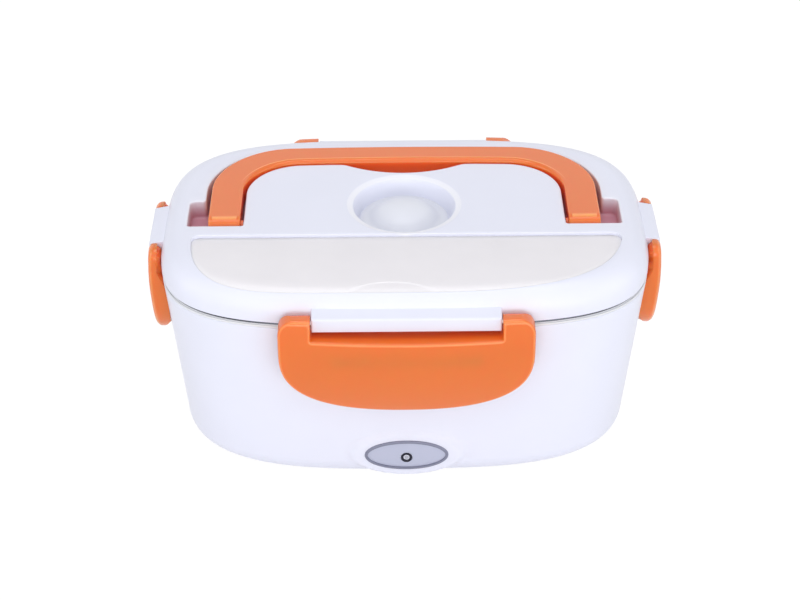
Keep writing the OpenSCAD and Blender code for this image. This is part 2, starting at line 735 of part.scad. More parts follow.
module cutlery_cover() {
    color("linen") difference() {
        union() {
            slab(cover_z, cover_top_z) moon(0, cover_pin_y);
            translate([0, cover_pin_y, cover_pin_z]) {
                rod_x(-cover_a + 3, cover_a - 3, cover_t / 2);
                rod_x(-cover_a - 1, cover_a + 1, cover_pin_r);
            }
        }
        translate([notch_x, -cover_b + 6 - notch_r, 0]) slab(cover_top_z - 0.5, top_z)
            circle(r = notch_r, $fn = 2 * ROUND);
    }
}

module handle_pins() {
    x0 = arm_x - arm_w - channel_gap - 5.8;
    color("silver") both_sides() translate([0, pivot_y, pivot_z]) rod_x(x0, arm_x - 5, handle_pin_r);
}

module handle() {
    color("coral") difference() {
        union() {
            slab(handle_z, handle_z + handle_t) bail_band(0, 0, pivot_y);
            both_sides() translate([0, pivot_y, pivot_z]) rod_x(arm_x - arm_w, arm_x, handle_t / 2);
        }
        both_sides() translate([0, pivot_y, pivot_z])
            rod_x(arm_x - arm_w - 1, arm_x - 4, handle_pin_r + pin_gap);
    }
}

// ---------------------------------------------------------------- latches

module latch_pins(seam, lug_l, ear) {
    reach = lug_l / 2 + ear - 3;
    pin_place(seam) rod_x(-reach, reach, latch_pin_r);
}

module long_latch_pins() {
    color("silver") {
        latch_pins(half_d, lug_long, ear_long);
        to_rear() latch_pins(half_d, lug_long, ear_long);
    }
}

module side_latch_pins() {
    color("silver") {
        to_right() latch_pins(half_w, lug_short, ear_short);
        to_left() latch_pins(half_w, lug_short, ear_short);
    }
}

// Distance of the latch's outer face from the axis of the case at height z
function latch_face(face, z) = face - latch_bow_r + sqrt(pow(latch_bow_r, 2) - pow(z - latch_bow_z, 2));

// Section of a latch's bowed outer face, out from the case and up, less `skin`
module latch_section(seam, face, skin) {
    corner = 2.6;
    corner_out = latch_face(face, ear_top_z - corner) - corner - skin;
    outer = [for (i = [0 : 8]) let (z = latch_tip_z - 1 + (ear_top_z - corner - latch_tip_z + 1) * i / 8)
        [latch_face(face, z) - skin, z]];
    brow = [for (t = [15 : 15 : 90]) [corner_out + corner * cos(t), ear_top_z - corner + corner * sin(t)]];
    polygon(concat(outer, brow, [[seam - 6, ear_top_z], [seam - 6, latch_tip_z - 1]]));
}

// The section swept around the gentle curve that the latch follows in plan
module latch_sweep(seam, face, plan_r, skin) {
    translate([0, plan_r - face, 0]) rotate_extrude($fn = 720) translate([plan_r - face, 0])
        latch_section(seam, face, skin);
}

// What is cut from a latch's inner side: it stays clear of the case and turns about the pin
module latch_inside(seam, half) {
    pin_out = seam + lug_proud - pin_inset;
    heel = [for (t = [180 : -15 : 90]) [-pin_out - ear_r * cos(t), latch_pin_z + ear_r * sin(t)]];
    across_x(-half, half) polygon(concat([[20 - seam, latch_tip_z - 3], [-seam - 0.3, latch_tip_z - 3]], heel,
        [[-pin_out, ear_top_z + 2], [20 - seam, ear_top_z + 2]]));
}

// Front outline of a latch: ears at the top, then a half oval down to the tip
module latch_outline(half, n, inset) {
    round_r = 5;
    low_z = latch_tip_z + 33;
    right = concat([for (t = [90 : -15 : 0]) [half - round_r + (round_r - inset) * cos(t),
            ear_top_z + 1 - round_r + (round_r - inset) * sin(t)]],
        [for (t = [0 : 5 : 90]) [(half - inset) * pow(cos(t), 2 / n),
            low_z - (low_z - latch_tip_z - inset) * pow(sin(t), 2 / n)]]);
    polygon(concat(right, [for (i = [len(right) - 2 : -1 : 0]) [-right[i][0], right[i][1]]]));
}

module latch(seam, proud, lug_l, ear, plan_r, n, ridge_half) {
    half = lug_l / 2 + move_gap + ear;
    face = seam + proud;
    out = face + 5;
    rib_out = seam + ridge_proud + 0.3;
    difference() {
        union() {
            difference() {
                intersection() {
                    latch_sweep(seam, face, plan_r, 0);
                    along_y(-out, 0) latch_outline(half, n, 0);
                }
                intersection() {
                    latch_sweep(seam - 2, face, plan_r, latch_wall);
                    along_y(-out, 0) intersection() {
                        latch_outline(half, n, 2.2);
                        translate([-half, 0]) square([2 * half, latch_edge_z - 2.4]);
                    }
                }
            }
            // snap rib, which rests just under the ridge on the case
            translate([-ridge_half + 2, -face + 1.2, ridge_z - 4.4])
                cube([2 * ridge_half - 4, face - 1.2 - rib_out, 3]);
        }
        latch_inside(seam, half + 1);
        // slot for the lug, between the ears
        translate([-lug_l / 2 - move_gap, -out, latch_edge_z]) cube([lug_l + 2 * move_gap, out, 40]);
        // relief that lets the tip pass the ridge
        translate([-ridge_half - 1.5, -rib_out, latch_tip_z - 2]) cube([2 * ridge_half + 3, rib_out, 8]);
        pin_place(seam) rod_x(-lug_l / 2 - ear + 2, lug_l / 2 + ear - 2, latch_pin_r + pin_gap);
    }
}

module long_latch() {
    color("coral") latch(half_d, latch_proud_long, lug_long, ear_long, 800, 2.5, ridge_long);
}

module side_latch() {
    color("coral") latch(half_w, latch_proud_short, lug_short, ear_short, 520, 2.8, ridge_short);
}

module front_latch() { long_latch(); }
module rear_latch() { to_rear() long_latch(); }
module left_latch() { to_left() side_latch(); }
module right_latch() { to_right() side_latch(); }

outer_shell();
base_cover();
base_screws();
rubber_feet();
inner_liner();
heating_plate();
heater_element();
heater_clamp();
clamp_screws();
thermostat();
thermal_fuse();
lamp_board();
board_screws();
lamp_led();
lamp_lens();
lamp_bezel();
badge_ring();
badge_plate();
inlet_housing();
inlet_pins();
live_wire();
neutral_wire();
lamp_wire();
food_container();
lid_shell();
lid_liner();
lid_seal();
long_latch_pins();
side_latch_pins();
handle_pins();
handle();
vent_plug();
cutlery_cover();
front_latch();
rear_latch();
left_latch();
right_latch();
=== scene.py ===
"""Electric lunch box: a white case with a steel container, a latched lid and a folding handle.

Sizes in the property groups are in metres. The shape code works in millimetres, with X along the
width, the badge looking along -Y and Z up from the surface that the feet stand on.
"""

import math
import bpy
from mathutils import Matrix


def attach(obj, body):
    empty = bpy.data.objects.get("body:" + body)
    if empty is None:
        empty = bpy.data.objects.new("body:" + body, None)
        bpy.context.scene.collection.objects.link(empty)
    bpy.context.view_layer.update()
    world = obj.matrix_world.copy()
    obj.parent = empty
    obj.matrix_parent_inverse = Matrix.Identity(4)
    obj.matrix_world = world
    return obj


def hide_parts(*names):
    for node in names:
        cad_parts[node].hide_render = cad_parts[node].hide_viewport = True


bl_info = {
    "name": "Electric Lunch Box",
    "version": (1, 0, 0),
    "blender": (4, 5, 0),
    "location": "View3D > Sidebar > Lunch Box",
    "description": "Builds the visible pieces of an electric lunch box around its packed frame",
    "category": "Add Mesh",
}

import bmesh
import bpy
import numpy as np
from bpy.props import FloatProperty, FloatVectorProperty, PointerProperty
from mathutils import Matrix, Vector
from mathutils.geometry import delaunay_2d_cdt

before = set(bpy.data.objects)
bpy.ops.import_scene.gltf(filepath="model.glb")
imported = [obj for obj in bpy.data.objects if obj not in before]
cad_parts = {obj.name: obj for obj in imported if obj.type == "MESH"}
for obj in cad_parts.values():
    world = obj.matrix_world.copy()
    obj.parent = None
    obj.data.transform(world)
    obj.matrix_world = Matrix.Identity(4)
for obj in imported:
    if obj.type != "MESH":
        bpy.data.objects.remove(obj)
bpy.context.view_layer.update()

MM = 0.001
TURN = 2 * math.pi
FRONT, RIGHT, REAR, LEFT = 0.0, 90.0, 180.0, -90.0   # the sides, as turns about Z in degrees
SHARP_EDGE = math.radians(32)
MERGE_DISTANCE, DEGENERATE_DISTANCE = 0.000004, 0.000002   # in metres
MIX_AMOUNT, MIX_A, MIX_B, MIX_RESULT = 0, 6, 7, 2   # a Mix node's sockets for colours

# Measures that several pieces share, in millimetres
BASE_BOTTOM, BASE_TOP = 1.0, 2.8   # heights of the base cover's two sides
WELL_FLOOR = 23.4      # height of the floor of the well, where the heating plate lies
SEAM_STEP = 0.2        # from the seam's outline to the top of the outer shell's wall
MOUTH_INSET = 7.7      # from the seam's outline to the container's mouth
RIM_RISE = 1.5         # from the outer shell's rim to the underside of the container's rim
FOOT_DRAFT = 9         # how far the container and the well narrow from mouth to floor
FLOOR_FILLET = 8       # radius between their walls and their floors
LID_WALL_INSET = 2.2   # from the seam's outline to the lid's inner wall
VENT_HOLE = 4.2        # radius of the hole that the steam plug closes
COVER_SINK = 1.5       # from the lid's flat top to the top of the cutlery cover
BAR_BOW, GRIP_BOW = 2.4, 1.9   # how far the handle's bar bows to the rear, outside and inside
PIN_RISE = 4.1         # from the seam to the latches' pins
INLET_FLANGE, INLET_BODY = (26, 16), (22, 12)   # width and height of the power inlet's two parts
FLANGE_DEPTH = 1.2     # thickness of its flange
SCREW_PLACES, FOOT_PLACES = (58, 30), (69, 26)   # of the base, mirrored to all four corners

# Shares of a radius at which a rounded edge gets a line of points
BENDS = (0.04, 0.16, 0.36, 0.64, 1.0)
FEW_BENDS = (0.06, 0.3, 1.0)


# ---------------------------------------------------------------- sizes and colours

def length(name, default, description):
    return FloatProperty(name=name, default=default, description=description, min=0.0,
                         precision=4, subtype="DISTANCE", unit="LENGTH")


def colour(name, default, description):
    return FloatVectorProperty(name=name, default=default, description=description, size=3,
                               min=0.0, max=1.0, subtype="COLOR")


def number(name, default, description):
    return FloatProperty(name=name, default=default, description=description, min=0.0)


class LunchBoxCaseSizes(bpy.types.PropertyGroup):
    """Sizes of the case, the well and the steel container"""
    half_width: length("Half width", 0.1107, "Half of the lid outline's width at the seam")
    half_depth: length("Half depth", 0.0729, "Half of the lid outline's depth at the seam")
    seam: length("Seam height", 0.0921, "Height of the seam where the lid meets the case")
    shell_top: length("Shell top", 0.0895, "Height of the outer shell's rim")
    foot_half_width: length("Foot half width", 0.104, "Half width just above the bottom edge")
    foot_fillet: length("Foot fillet", 0.0128, "Radius of the case's bottom edge")
    wall: length("Wall", 0.0022, "Thickness of the outer shell")
    square_top: number("Squareness at the seam", 3.6, "Exponent of the outline at the seam")
    square_foot: number("Squareness at the foot", 3.1, "Exponent of the outline at the foot")
    pad_face: length("Pad face", 0.0684, "Distance of the badge pad and inlet pad from the middle")
    badge_height: length("Badge height", 0.0174, "Height of the badge's centre")
    inlet_height: length("Inlet height", 0.0146, "Height of the power inlet's centre")


class LunchBoxLidSizes(bpy.types.PropertyGroup):
    """Sizes of the lid and of the hollows in its top"""
    height: length("Lid height", 0.0148, "Height of the lid's flat top above the seam")
    shoulder: length("Shoulder", 0.0104, "Width of the rounded shoulder")
    wall: length("Wall", 0.0018, "Thickness of the lid")
    channel_depth: length("Channel depth", 0.0089, "Depth of the handle channel")
    vent_radius: length("Vent radius", 0.0243, "Radius of the vent recess at its lip")
    vent_y: length("Vent position", 0.0047, "Distance of the vent behind the middle")
    edge: length("Edge radius", 0.0007, "Rounding along the hollows' edges")
    cover_half_width: length("Cover half width", 0.0987, "Half width of the cutlery cover")
    cover_half_depth: length("Cover depth", 0.0671, "Front of the cutlery cover from the middle")
    cover_rear: length("Cover rear", 0.0219, "Straight rear edge of the cover from the middle")
    cover_thickness: length("Cover thickness", 0.0016, "Thickness of the cutlery cover")


class LunchBoxHandleSizes(bpy.types.PropertyGroup):
    """Sizes of the folding handle"""
    arm_x: length("Arm position", 0.0892, "Outer face of an arm from the middle")
    arm_width: length("Arm width", 0.0159, "Width of an arm")
    bar_y: length("Bar position", 0.053, "Rear of the bar at its ends")
    bar_width: length("Bar width", 0.0126, "Width of the cross bar")
    thickness: length("Thickness", 0.0096, "Thickness of the handle")
    pivot_y: length("Pivot position", 0.0082, "Distance of the pivot in front of the middle")
    pivot_z: length("Pivot height", 0.1036, "Height of the pivot")
    edge: length("Edge radius", 0.0006, "Rounding along the handle's outer edges")
    inner_edge: length("Inner edge radius", 0.0022, "Rounding along the side that a hand holds")


class LunchBoxLatchSizes(bpy.types.PropertyGroup):
    """Sizes of the four snap latches and the lugs that they turn on"""
    lug_long: length("Long lug", 0.082, "Length of the front and rear lugs")
    lug_short: length("Short lug", 0.0312, "Length of the side lugs")
    ear_long: length("Long latch ear", 0.0142, "Width of an ear on the front and rear latches")
    ear_short: length("Short latch ear", 0.0084, "Width of an ear on the side latches")
    proud_long: length("Long latch reach", 0.0111, "Reach of the front latch beyond the seam")
    proud_short: length("Short latch reach", 0.0081, "Reach of a side latch beyond the seam")
    tip: length("Tip height", 0.05, "Height of a latch's lower tip")
    top: length("Ear top", 0.0995, "Height of the top of the ears")
    slot: length("Slot height", 0.0879, "Height of the plate's edge under the lug")
    wall: length("Wall", 0.0026, "Thickness of the latch's plate")
    edge: length("Edge radius", 0.001, "Rounding along the latch's edges")


class LunchBoxColours(bpy.types.PropertyGroup):
    """Colours of the finishes"""
    white: colour("White plastic", (0.80, 0.815, 0.93), "Case and lid")
    inner: colour("Inner plastic", (0.78, 0.79, 0.82), "Well and lid lining")
    orange: colour("Orange plastic", (0.80, 0.165, 0.012), "Handle and latches")
    frosted: colour("Frosted plastic", (0.85, 0.825, 0.86), "Cutlery cover")
    silicone: colour("Silicone", (0.78, 0.795, 0.87), "Steam plug and seal")
    steel: colour("Steel", (0.62, 0.62, 0.63), "Food container")
    badge: colour("Badge face", (0.49, 0.515, 0.655), "Face of the badge")
    ring: colour("Badge ring", (0.215, 0.225, 0.31), "Ring around the badge")
    dark: colour("Dark plastic", (0.008, 0.008, 0.022), "Lamp bezel and power inlet")


SETTINGS = (("lunch_case", LunchBoxCaseSizes), ("lunch_lid", LunchBoxLidSizes),
            ("lunch_handle", LunchBoxHandleSizes), ("lunch_latch", LunchBoxLatchSizes),
            ("lunch_colours", LunchBoxColours))


class Sizes:
    """A property group's lengths in millimetres; plain numbers stay as they are"""

    def __init__(self, group):
        for key, prop in group.bl_rna.properties.items():
            if prop.type == "FLOAT" and not prop.is_array:
                value = getattr(group, key)
                setattr(self, key, value / MM if prop.unit == "LENGTH" else value)


# ---------------------------------------------------------------- flat outlines, in millimetres

def around(count, crowded=()):
    """Angles around an outline; each (centre, reach, step) in `crowded` adds closer angles"""
    angles = set(np.round(np.arange(count) * TURN / count, 6))
    for centre, reach, step in crowded:
        for a in np.arange(-reach, reach + step / 2, step):
            angles.add(round((centre + a) % TURN, 6))
    angles = np.array(sorted(angles))
    return angles[np.append(True, np.diff(angles) > 0.002)]


def rounded_oval(half_x, half_y, square, angles):
    """Points of a squared ellipse"""
    c, s = np.cos(angles), np.sin(angles)
    reach = (np.abs(c) ** square + np.abs(s) ** square) ** (-1 / square)
    return np.stack([half_x * c * reach, half_y * s * reach], 1)


def circle(r, centre=(0, 0), count=48):
    """Points of a circle, counter-clockwise"""
    return rounded_oval(r, r, 2, around(count)) + list(centre)


def stadium(width, height, steps=16):
    """A slot-shaped outline, counter-clockwise"""
    r = height / 2
    half = width / 2 - r
    right = [(half + r * math.cos(t), r * math.sin(t))
             for t in np.linspace(-math.pi / 2, math.pi / 2, steps + 1)]
    return np.array(right + [(-x, -y) for x, y in right])


def row(start, end, height, step, inside):
    """Points of a level stroke, as far as it lies inside an outline and clear of its edge"""
    count = int(abs(end - start) / step) + 2
    points = np.column_stack([np.linspace(start, end, count), np.full(count, height)])
    clear = 0.08
    return points[distance(points, inside) < -clear]


def rows(levels, near, far, inside):
    """Level strokes on the left and the right of an outline, between two distances from its middle"""
    step = 1.6
    strokes = [row(side * near, side * far, level, step, inside) for level in levels for side in (-1, 1)]
    return [stroke for stroke in strokes if len(stroke) > 1]


def unit(v):
    return v / np.maximum(np.linalg.norm(v, axis=-1, keepdims=True), 1e-9)


def grown(loop, out):
    """A counter-clockwise loop moved outwards by `out`"""
    before = unit(loop - np.roll(loop, 1, 0))
    after = unit(np.roll(loop, -1, 0) - loop)
    n1 = np.stack([before[:, 1], -before[:, 0]], 1)
    n2 = np.stack([after[:, 1], -after[:, 0]], 1)
    mitre = unit(n1 + n2)
    return loop + mitre * (out / np.maximum((mitre * n1).sum(1), 0.4))[:, None]


def softened(corners, step):
    """A closed outline through (x, y, radius) corners, with arcs at them and points every `step`"""
    points = []
    count = len(corners)
    for i, (x, y, r) in enumerate(corners):
        p = np.array([x, y], float)
        a = unit(np.array(corners[i - 1][:2], float) - p)
        b = unit(np.array(corners[(i + 1) % count][:2], float) - p)
        if r <= 0:
            points.append(p)
            continue
        half = math.acos(max(-1.0, min(1.0, float(a @ b)))) / 2
        run = r / math.tan(half)
        centre = p + unit(a + b) * (r / math.sin(half))
        start, end = p + a * run - centre, p + b * run - centre
        sweep = math.atan2(start[0] * end[1] - start[1] * end[0], float(start @ end))
        steps = max(3, int(abs(sweep) / math.radians(11)))
        for k in range(steps + 1):
            t = sweep * k / steps
            c, s = math.cos(t), math.sin(t)
            points.append(centre + [start[0] * c - start[1] * s, start[0] * s + start[1] * c])
    return divided(np.array(points), step)


def divided(loop, step):
    """A closed loop with its long edges divided"""
    points = []
    for p, q in zip(loop, np.roll(loop, -1, 0)):
        parts = max(1, int(round(float(np.linalg.norm(q - p)) / step)))
        points += [p + (q - p) * k / parts for k in range(parts)]
    return np.array(points)


def corners_of(x, y):
    """Four points in a rectangle around the middle"""
    return [(sx * x, sy * y, 0.0) for sx in (-1, 1) for sy in (-1, 1)]


def is_inside(points, loop):
    """Which points lie inside a closed loop"""
    result = np.zeros(len(points), bool)
    x, y = points[:, 0], points[:, 1]
    for (x0, y0), (x1, y1) in zip(loop, np.roll(loop, -1, 0)):
        if y0 != y1:
            crosses = (y0 > y) != (y1 > y)
            result ^= crosses & (x < (x1 - x0) * (y - y0) / (y1 - y0) + x0)
    return result


def distance(points, loop):
    """Distance of points from a closed loop, negative inside it"""
    result = np.full(len(points), 1e9)
    for p, q in zip(loop, np.roll(loop, -1, 0)):
        run = q - p
        t = np.clip(((points - p) @ run) / max(float(run @ run), 1e-12), 0, 1)
        gap = points - p - t[:, None] * run
        result = np.minimum(result, (gap * gap).sum(1))
    return np.where(is_inside(points, loop), -1, 1) * np.sqrt(result)


def grid_dots(loop, step):
    """Points on a staggered grid over a loop's box"""
    low, high = loop.min(0), loop.max(0)
    rows = np.arange(low[1] + step / 2, high[1], step)
    return np.array([(x + (step / 2 if k % 2 else 0), y) for k, y in enumerate(rows)
                     for x in np.arange(low[0] + step / 2, high[0], step)])


def facets(loops, dots, clear, strokes=()):
    """Delaunay facets over closed loops, open strokes and loose dots. Gives points, triangles and the
    indices of each loop's points"""
    points = np.concatenate(list(loops) + list(strokes))
    if len(dots):
        room = np.array([((points - d) ** 2).sum(1).min() for d in dots])
        dots = dots[room > clear * clear]
    edges, start = [], 0
    for loop in loops:
        n = len(loop)
        edges += [(start + i, start + (i + 1) % n) for i in range(n)]
        start += n
    for stroke in strokes:
        edges += [(start + i, start + i + 1) for i in range(len(stroke) - 1)]
        start += len(stroke)
    every = np.concatenate([points, dots]) if len(dots) else points
    made, _, triangles, source, _, _ = delaunay_2d_cdt([Vector(p) for p in every], edges, [], 0, 1e-4)
    index = {}
    for k, inputs in enumerate(source):
        for i in inputs:
            index[i] = k
    rings, start = [], 0
    for loop in loops:
        rings.append([index[start + i] for i in range(len(loop))])
        start += len(loop)
    return np.array([tuple(v) for v in made]), np.array([list(t) for t in triangles]), rings


def hollow(d, brim, floor, lip, fillet, draft):
    """Height in and around a hollow: rounded lip, drafted wall and filleted floor"""
    drop = np.sqrt(np.maximum(lip ** 2 - (lip - np.clip(d, 0, lip)) ** 2, 0))
    z = np.where(d < lip, brim - lip + drop, brim)
    t = np.clip(-d / draft, 0, 1)
    z = np.where(d < 0, (brim - lip) * (1 - t) + (floor + fillet) * t, z)
    q = np.clip(-d - draft, 0, fillet)
    bend = floor + fillet - np.sqrt(np.maximum(fillet ** 2 - (fillet - q) ** 2, 0))
    return np.where(d < -draft, bend, z)


def hollow_lines(loop, lip, fillet, draft):
    """The loops that a hollow's facets follow"""
    outs = [lip * b for b in BENDS] + [0, -draft] + [-draft - fillet * b for b in BENDS]
    return [grown(loop, out) for out in outs]


def edge_lines(loop, radius, shares=BENDS):
    """The loops that the facets of a rounded edge follow, inside an outline"""
    return [grown(loop, -radius * share) for share in shares]


def edge_drop(d, radius):
    """How far a rounded edge falls away at distance d inside an outline"""
    q = radius - np.clip(d, 0, radius)
    return radius - np.sqrt(np.maximum(radius ** 2 - q ** 2, 0))


# ---------------------------------------------------------------- meshes

def band(first, second):
    """Faces between two closed rings of point numbers"""
    n = len(first)
    return [(first[i], first[(i + 1) % n], second[(i + 1) % n], second[i]) for i in range(n)]


class Shape:
    """Collects points in millimetres and faces, and makes them one smooth-shaded piece"""

    def __init__(self):
        # rims hold how far each point is painted paler as a highlight, or darker as shade on the steel;
        # glows how far it is painted deeper, as shade tinted by bounced light
        self.points, self.faces, self.rims, self.glows = [], [], [], []
        self.count = 0

    def add(self, points, faces, rim=None, glow=None):
        """Adds points and the faces between them; gives the number of the first point"""
        points = np.asarray(points, float)
        self.faces += [tuple(int(i) + self.count for i in f) for f in faces]
        self.points.append(points)
        for values, given in ((self.rims, rim), (self.glows, glow)):
            values.append(np.zeros(len(points)) if given is None else np.asarray(given, float))
        self.count += len(points)
        return self.count - len(points)

    def rings(self, rings, closed=False, caps=False):
        """Skins a list of rings with equal point counts"""
        n = len(rings[0])
        numbers = [range(k * n, k * n + n) for k in range(len(rings))]
        pairs = list(zip(numbers, numbers[1:]))
        if closed:
            pairs.append((numbers[-1], numbers[0]))
        faces = [face for pair in pairs for face in band(*pair)]
        if caps:
            faces += [tuple(numbers[0])[::-1], tuple(numbers[-1])]
        return self.add(np.concatenate(rings), faces)

    def lathe(self, profile, centre=(0, 0), count=128):
        """Turns a closed or axis-to-axis (radius, height) profile about Z"""
        angles = np.arange(count) * TURN / count
        rings = [np.stack([centre[0] + r * np.cos(angles), centre[1] + r * np.sin(angles),
                           np.full(count, z)], 1) for r, z in profile]
        return self.rings(rings)

    def piece(self, name, finish, place=None, sharp=SHARP_EDGE):
        """Makes the object; `place` moves its points into place"""
        points = np.concatenate(self.points)
        if place is not None:
            points = place(points)
        mesh = bpy.data.meshes.new(name)
        mesh.from_pydata((points * MM).tolist(), [], self.faces)
        for label, values in (("rim", self.rims), ("glow", self.glows)):
            layer = mesh.attributes.new(label, "FLOAT", "POINT")
            layer.data.foreach_set("value", np.concatenate(values).astype(np.float32))
        tidy(mesh, sharp)
        return shown(name, mesh, finish)


def tidy(mesh, sharp=SHARP_EDGE, turn=True):
    """Merges doubles, turns the faces outwards and shades smooth between sharp edges"""
    work = bmesh.new()
    work.from_mesh(mesh)
    bmesh.ops.remove_doubles(work, verts=work.verts, dist=MERGE_DISTANCE)
    bmesh.ops.dissolve_degenerate(work, dist=DEGENERATE_DISTANCE, edges=work.edges)
    if turn:
        bmesh.ops.recalc_face_normals(work, faces=work.faces)
    work.to_mesh(mesh)
    work.free()
    shade(mesh, sharp)
    mesh.update()


def shade(mesh, sharp=SHARP_EDGE):
    """Shades a mesh smooth between its sharp edges"""
    mesh.polygons.foreach_set("use_smooth", [True] * len(mesh.polygons))
    mesh.set_sharp_from_angle(angle=sharp)


def placed(name, data):
    """A new object in the scene"""
    obj = bpy.data.objects.new(name, data)
    bpy.context.scene.collection.objects.link(obj)
    return obj


def shown(name, mesh, finish):
    """A new object with one finish"""
    obj = placed(name, mesh)
    mesh.materials.clear()
    mesh.materials.append(material(finish))
    return obj


def settle(obj, body, finish, *nodes):
    """Rides a finished piece on its body, in the place of the CAD nodes that it stands for"""
    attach(obj, body)
    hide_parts(*nodes)


def turned(points, degrees):
    """Points turned about Z"""
    c, s = math.cos(math.radians(degrees)), math.sin(math.radians(degrees))
    x, y = points[:, 0].copy(), points[:, 1].copy()
    return np.stack([x * c - y * s, x * s + y * c, points[:, 2]], 1)


def evaluated(obj):
    """The mesh that an object's modifiers give"""
    depsgraph = bpy.context.evaluated_depsgraph_get()
    depsgraph.update()
    return bpy.data.meshes.new_from_object(obj.evaluated_get(depsgraph))


def cut(obj, cutters):
    """Cuts solids out of a piece and shades it again"""
    finish = obj.data.materials[0]
    for cutter in cutters:
        hole = obj.modifiers.new("Cut", "BOOLEAN")
        hole.operation, hole.solver, hole.object = "DIFFERENCE", "EXACT", cutter
    mesh = evaluated(obj)
    obj.modifiers.clear()
    old, obj.data = obj.data, mesh
    mesh.name = old.name
    bpy.data.meshes.remove(old)
    for cutter in cutters:
        bpy.data.objects.remove(cutter)
    mesh.materials.clear()
    mesh.materials.append(finish)
    tidy(mesh, turn=False)


def joined(obj, other):
    """Adds another object's mesh to a piece"""
    work = bmesh.new()
    work.from_mesh(obj.data)
    work.from_mesh(other.data)
    work.to_mesh(obj.data)
    work.free()
    bpy.data.objects.remove(other)
    shade(obj.data)


def prism(name, outline, low, high, lay):
    """A solid over a flat outline between two depths; `lay` puts (u, v, depth) in place"""
    shape = Shape()
    n = len(outline)
    ends = [np.column_stack([outline, np.full(n, w)]) for w in (low, high)]
    shape.rings(ends, caps=True)
    return shape.piece(name, "white_plastic", lay)


def bar(shape, low, high, round_off):
    """A box with rounded edges, added to a shape"""
    work = bmesh.new()
    bmesh.ops.create_cube(work, size=1)
    size, middle = np.subtract(high, low), np.add(high, low) / 2
    for v in work.verts:
        v.co = Vector(np.array(v.co) * size + middle)
    bmesh.ops.bevel(work, geom=work.edges[:], offset=round_off, segments=3, profile=0.5, affect="EDGES")
    work.verts.index_update()
    shape.add([tuple(v.co) for v in work.verts], [[v.index for v in f.verts] for f in work.faces])
    work.free()


def edge_highlight(points, d):
    """How strongly a plate's edge is painted paler at each point, as a painted highlight"""
    return np.clip(1 - d / 1.2, 0, 1)


def plate(shape, outline, front, back, front_lines, back_lines, dots, holes=(), rim=edge_highlight, strokes=(),
          glow=None):
    """A closed plate over a flat outline, with through holes. `front` and `back` give its two heights,
    `rim` how strongly its edges are painted paler as a highlight and `glow` how far its colour is painted
    deeper, as shade tinted by bounced light"""
    clear = 0.9
    borders = [outline] + list(holes)
    ends = []
    for height, lines, under in ((front, front_lines, False), (back, back_lines, True)):
        points, triangles, rings = facets(borders + lines, dots, clear, strokes)
        middle = points[triangles].mean(1)
        kept = is_inside(middle, outline)
        d = -distance(points, outline)
        for hole in holes:
            kept &= ~is_inside(middle, hole)
            d = np.minimum(d, distance(points, hole))
        for ring in rings[:len(borders)]:
            d[ring] = 0
        start = shape.add(np.column_stack([points, height(points, d)]), triangles[kept], rim(points, d),
                          glow(points, d, under) if glow else None)
        ends.append([[start + i for i in ring] for ring in rings[:len(borders)]])
    for first, second in zip(*ends):
        shape.faces += band(first, second)


def rod(shape, low, high, r, y, z):
    """A pin along X with eased ends, added to a shape"""
    count = 24
    turn = np.arange(count) * TURN / count
    ease = min(0.15, r / 4)
    profile = ((low, r - ease), (low + ease, r), (high - ease, r), (high, r - ease))
    shape.rings([np.stack([np.full(count, x), y + q * np.cos(turn), z + q * np.sin(turn)], 1)
                 for x, q in profile], caps=True)


def standing(points):
    """Turns (u, v, depth) into place: u along X, v up and depth towards the front"""
    return np.stack([points[:, 0], -points[:, 2], points[:, 1]], 1)


# ---------------------------------------------------------------- shader groups and materials

def wire(tree, source, target):
    tree.links.new(source, target)


def feed(tree, socket, value):
    """Joins an input to an output, or sets it to a plain value"""
    if isinstance(value, bpy.types.NodeSocket):
        wire(tree, value, socket)
    else:
        socket.default_value = value


def add_node(tree, kind, **values):
    """A node with its properties and its plain inputs set"""
    node = tree.nodes.new(kind)
    for key, value in values.items():
        if hasattr(node, key):
            setattr(node, key, value)
        else:
            node.inputs[key.replace("_", " ")].default_value = value
    return node


def new_group(name, inputs, outputs):
    """An empty shader group with named sockets; gives the tree, its input node and its output node"""
    tree = bpy.data.node_groups.new(name, "ShaderNodeTree")
    for label, kind, default in inputs:
        socket = tree.interface.new_socket(name=label, in_out="INPUT", socket_type=kind)
        socket.default_value = default
    for label, kind in outputs:
        tree.interface.new_socket(name=label, in_out="OUTPUT", socket_type=kind)
    return tree, tree.nodes.new("NodeGroupInput"), tree.nodes.new("NodeGroupOutput")


def scaled(tree, source, low, high, from_low=0.0, from_high=1.0):
    """Maps a value into a range, clamped"""
    node = add_node(tree, "ShaderNodeMapRange", clamp=True)
    for key, value in (("From Min", from_low), ("From Max", from_high), ("To Min", low), ("To Max", high)):
        feed(tree, node.inputs[key], value)
    wire(tree, source, node.inputs["Value"])
    return node.outputs["Result"]


def maths(tree, operation, a, b):
    """Works out one sum of two values"""
    node = add_node(tree, "ShaderNodeMath", operation=operation)
    for socket, value in zip(node.inputs, (a, b)):
        feed(tree, socket, value)
    return node.outputs["Value"]


def noise(tree, scale, detail, stretch=None):
    """Noise on object coordinates, stretched by a scale for each axis if one is given"""
    node = add_node(tree, "ShaderNodeTexNoise", Detail=detail)
    feed(tree, node.inputs["Scale"], scale)
    place = add_node(tree, "ShaderNodeTexCoord")
    mapping = add_node(tree, "ShaderNodeMapping", Scale=stretch or (1, 1, 1))
    wire(tree, place.outputs["Object"], mapping.inputs["Vector"])
    wire(tree, mapping.outputs["Vector"], node.inputs["Vector"])
    return node.outputs["Fac"]


def tinted(tree, amount, a, b):
    """Mixes two colours by an amount"""
    node = add_node(tree, "ShaderNodeMix", data_type="RGBA")
    for index, value in ((MIX_AMOUNT, amount), (MIX_A, a), (MIX_B, b)):
        feed(tree, node.inputs[index], value)
    return node.outputs[MIX_RESULT]


COLOUR, VALUE = "NodeSocketColor", "NodeSocketFloat"


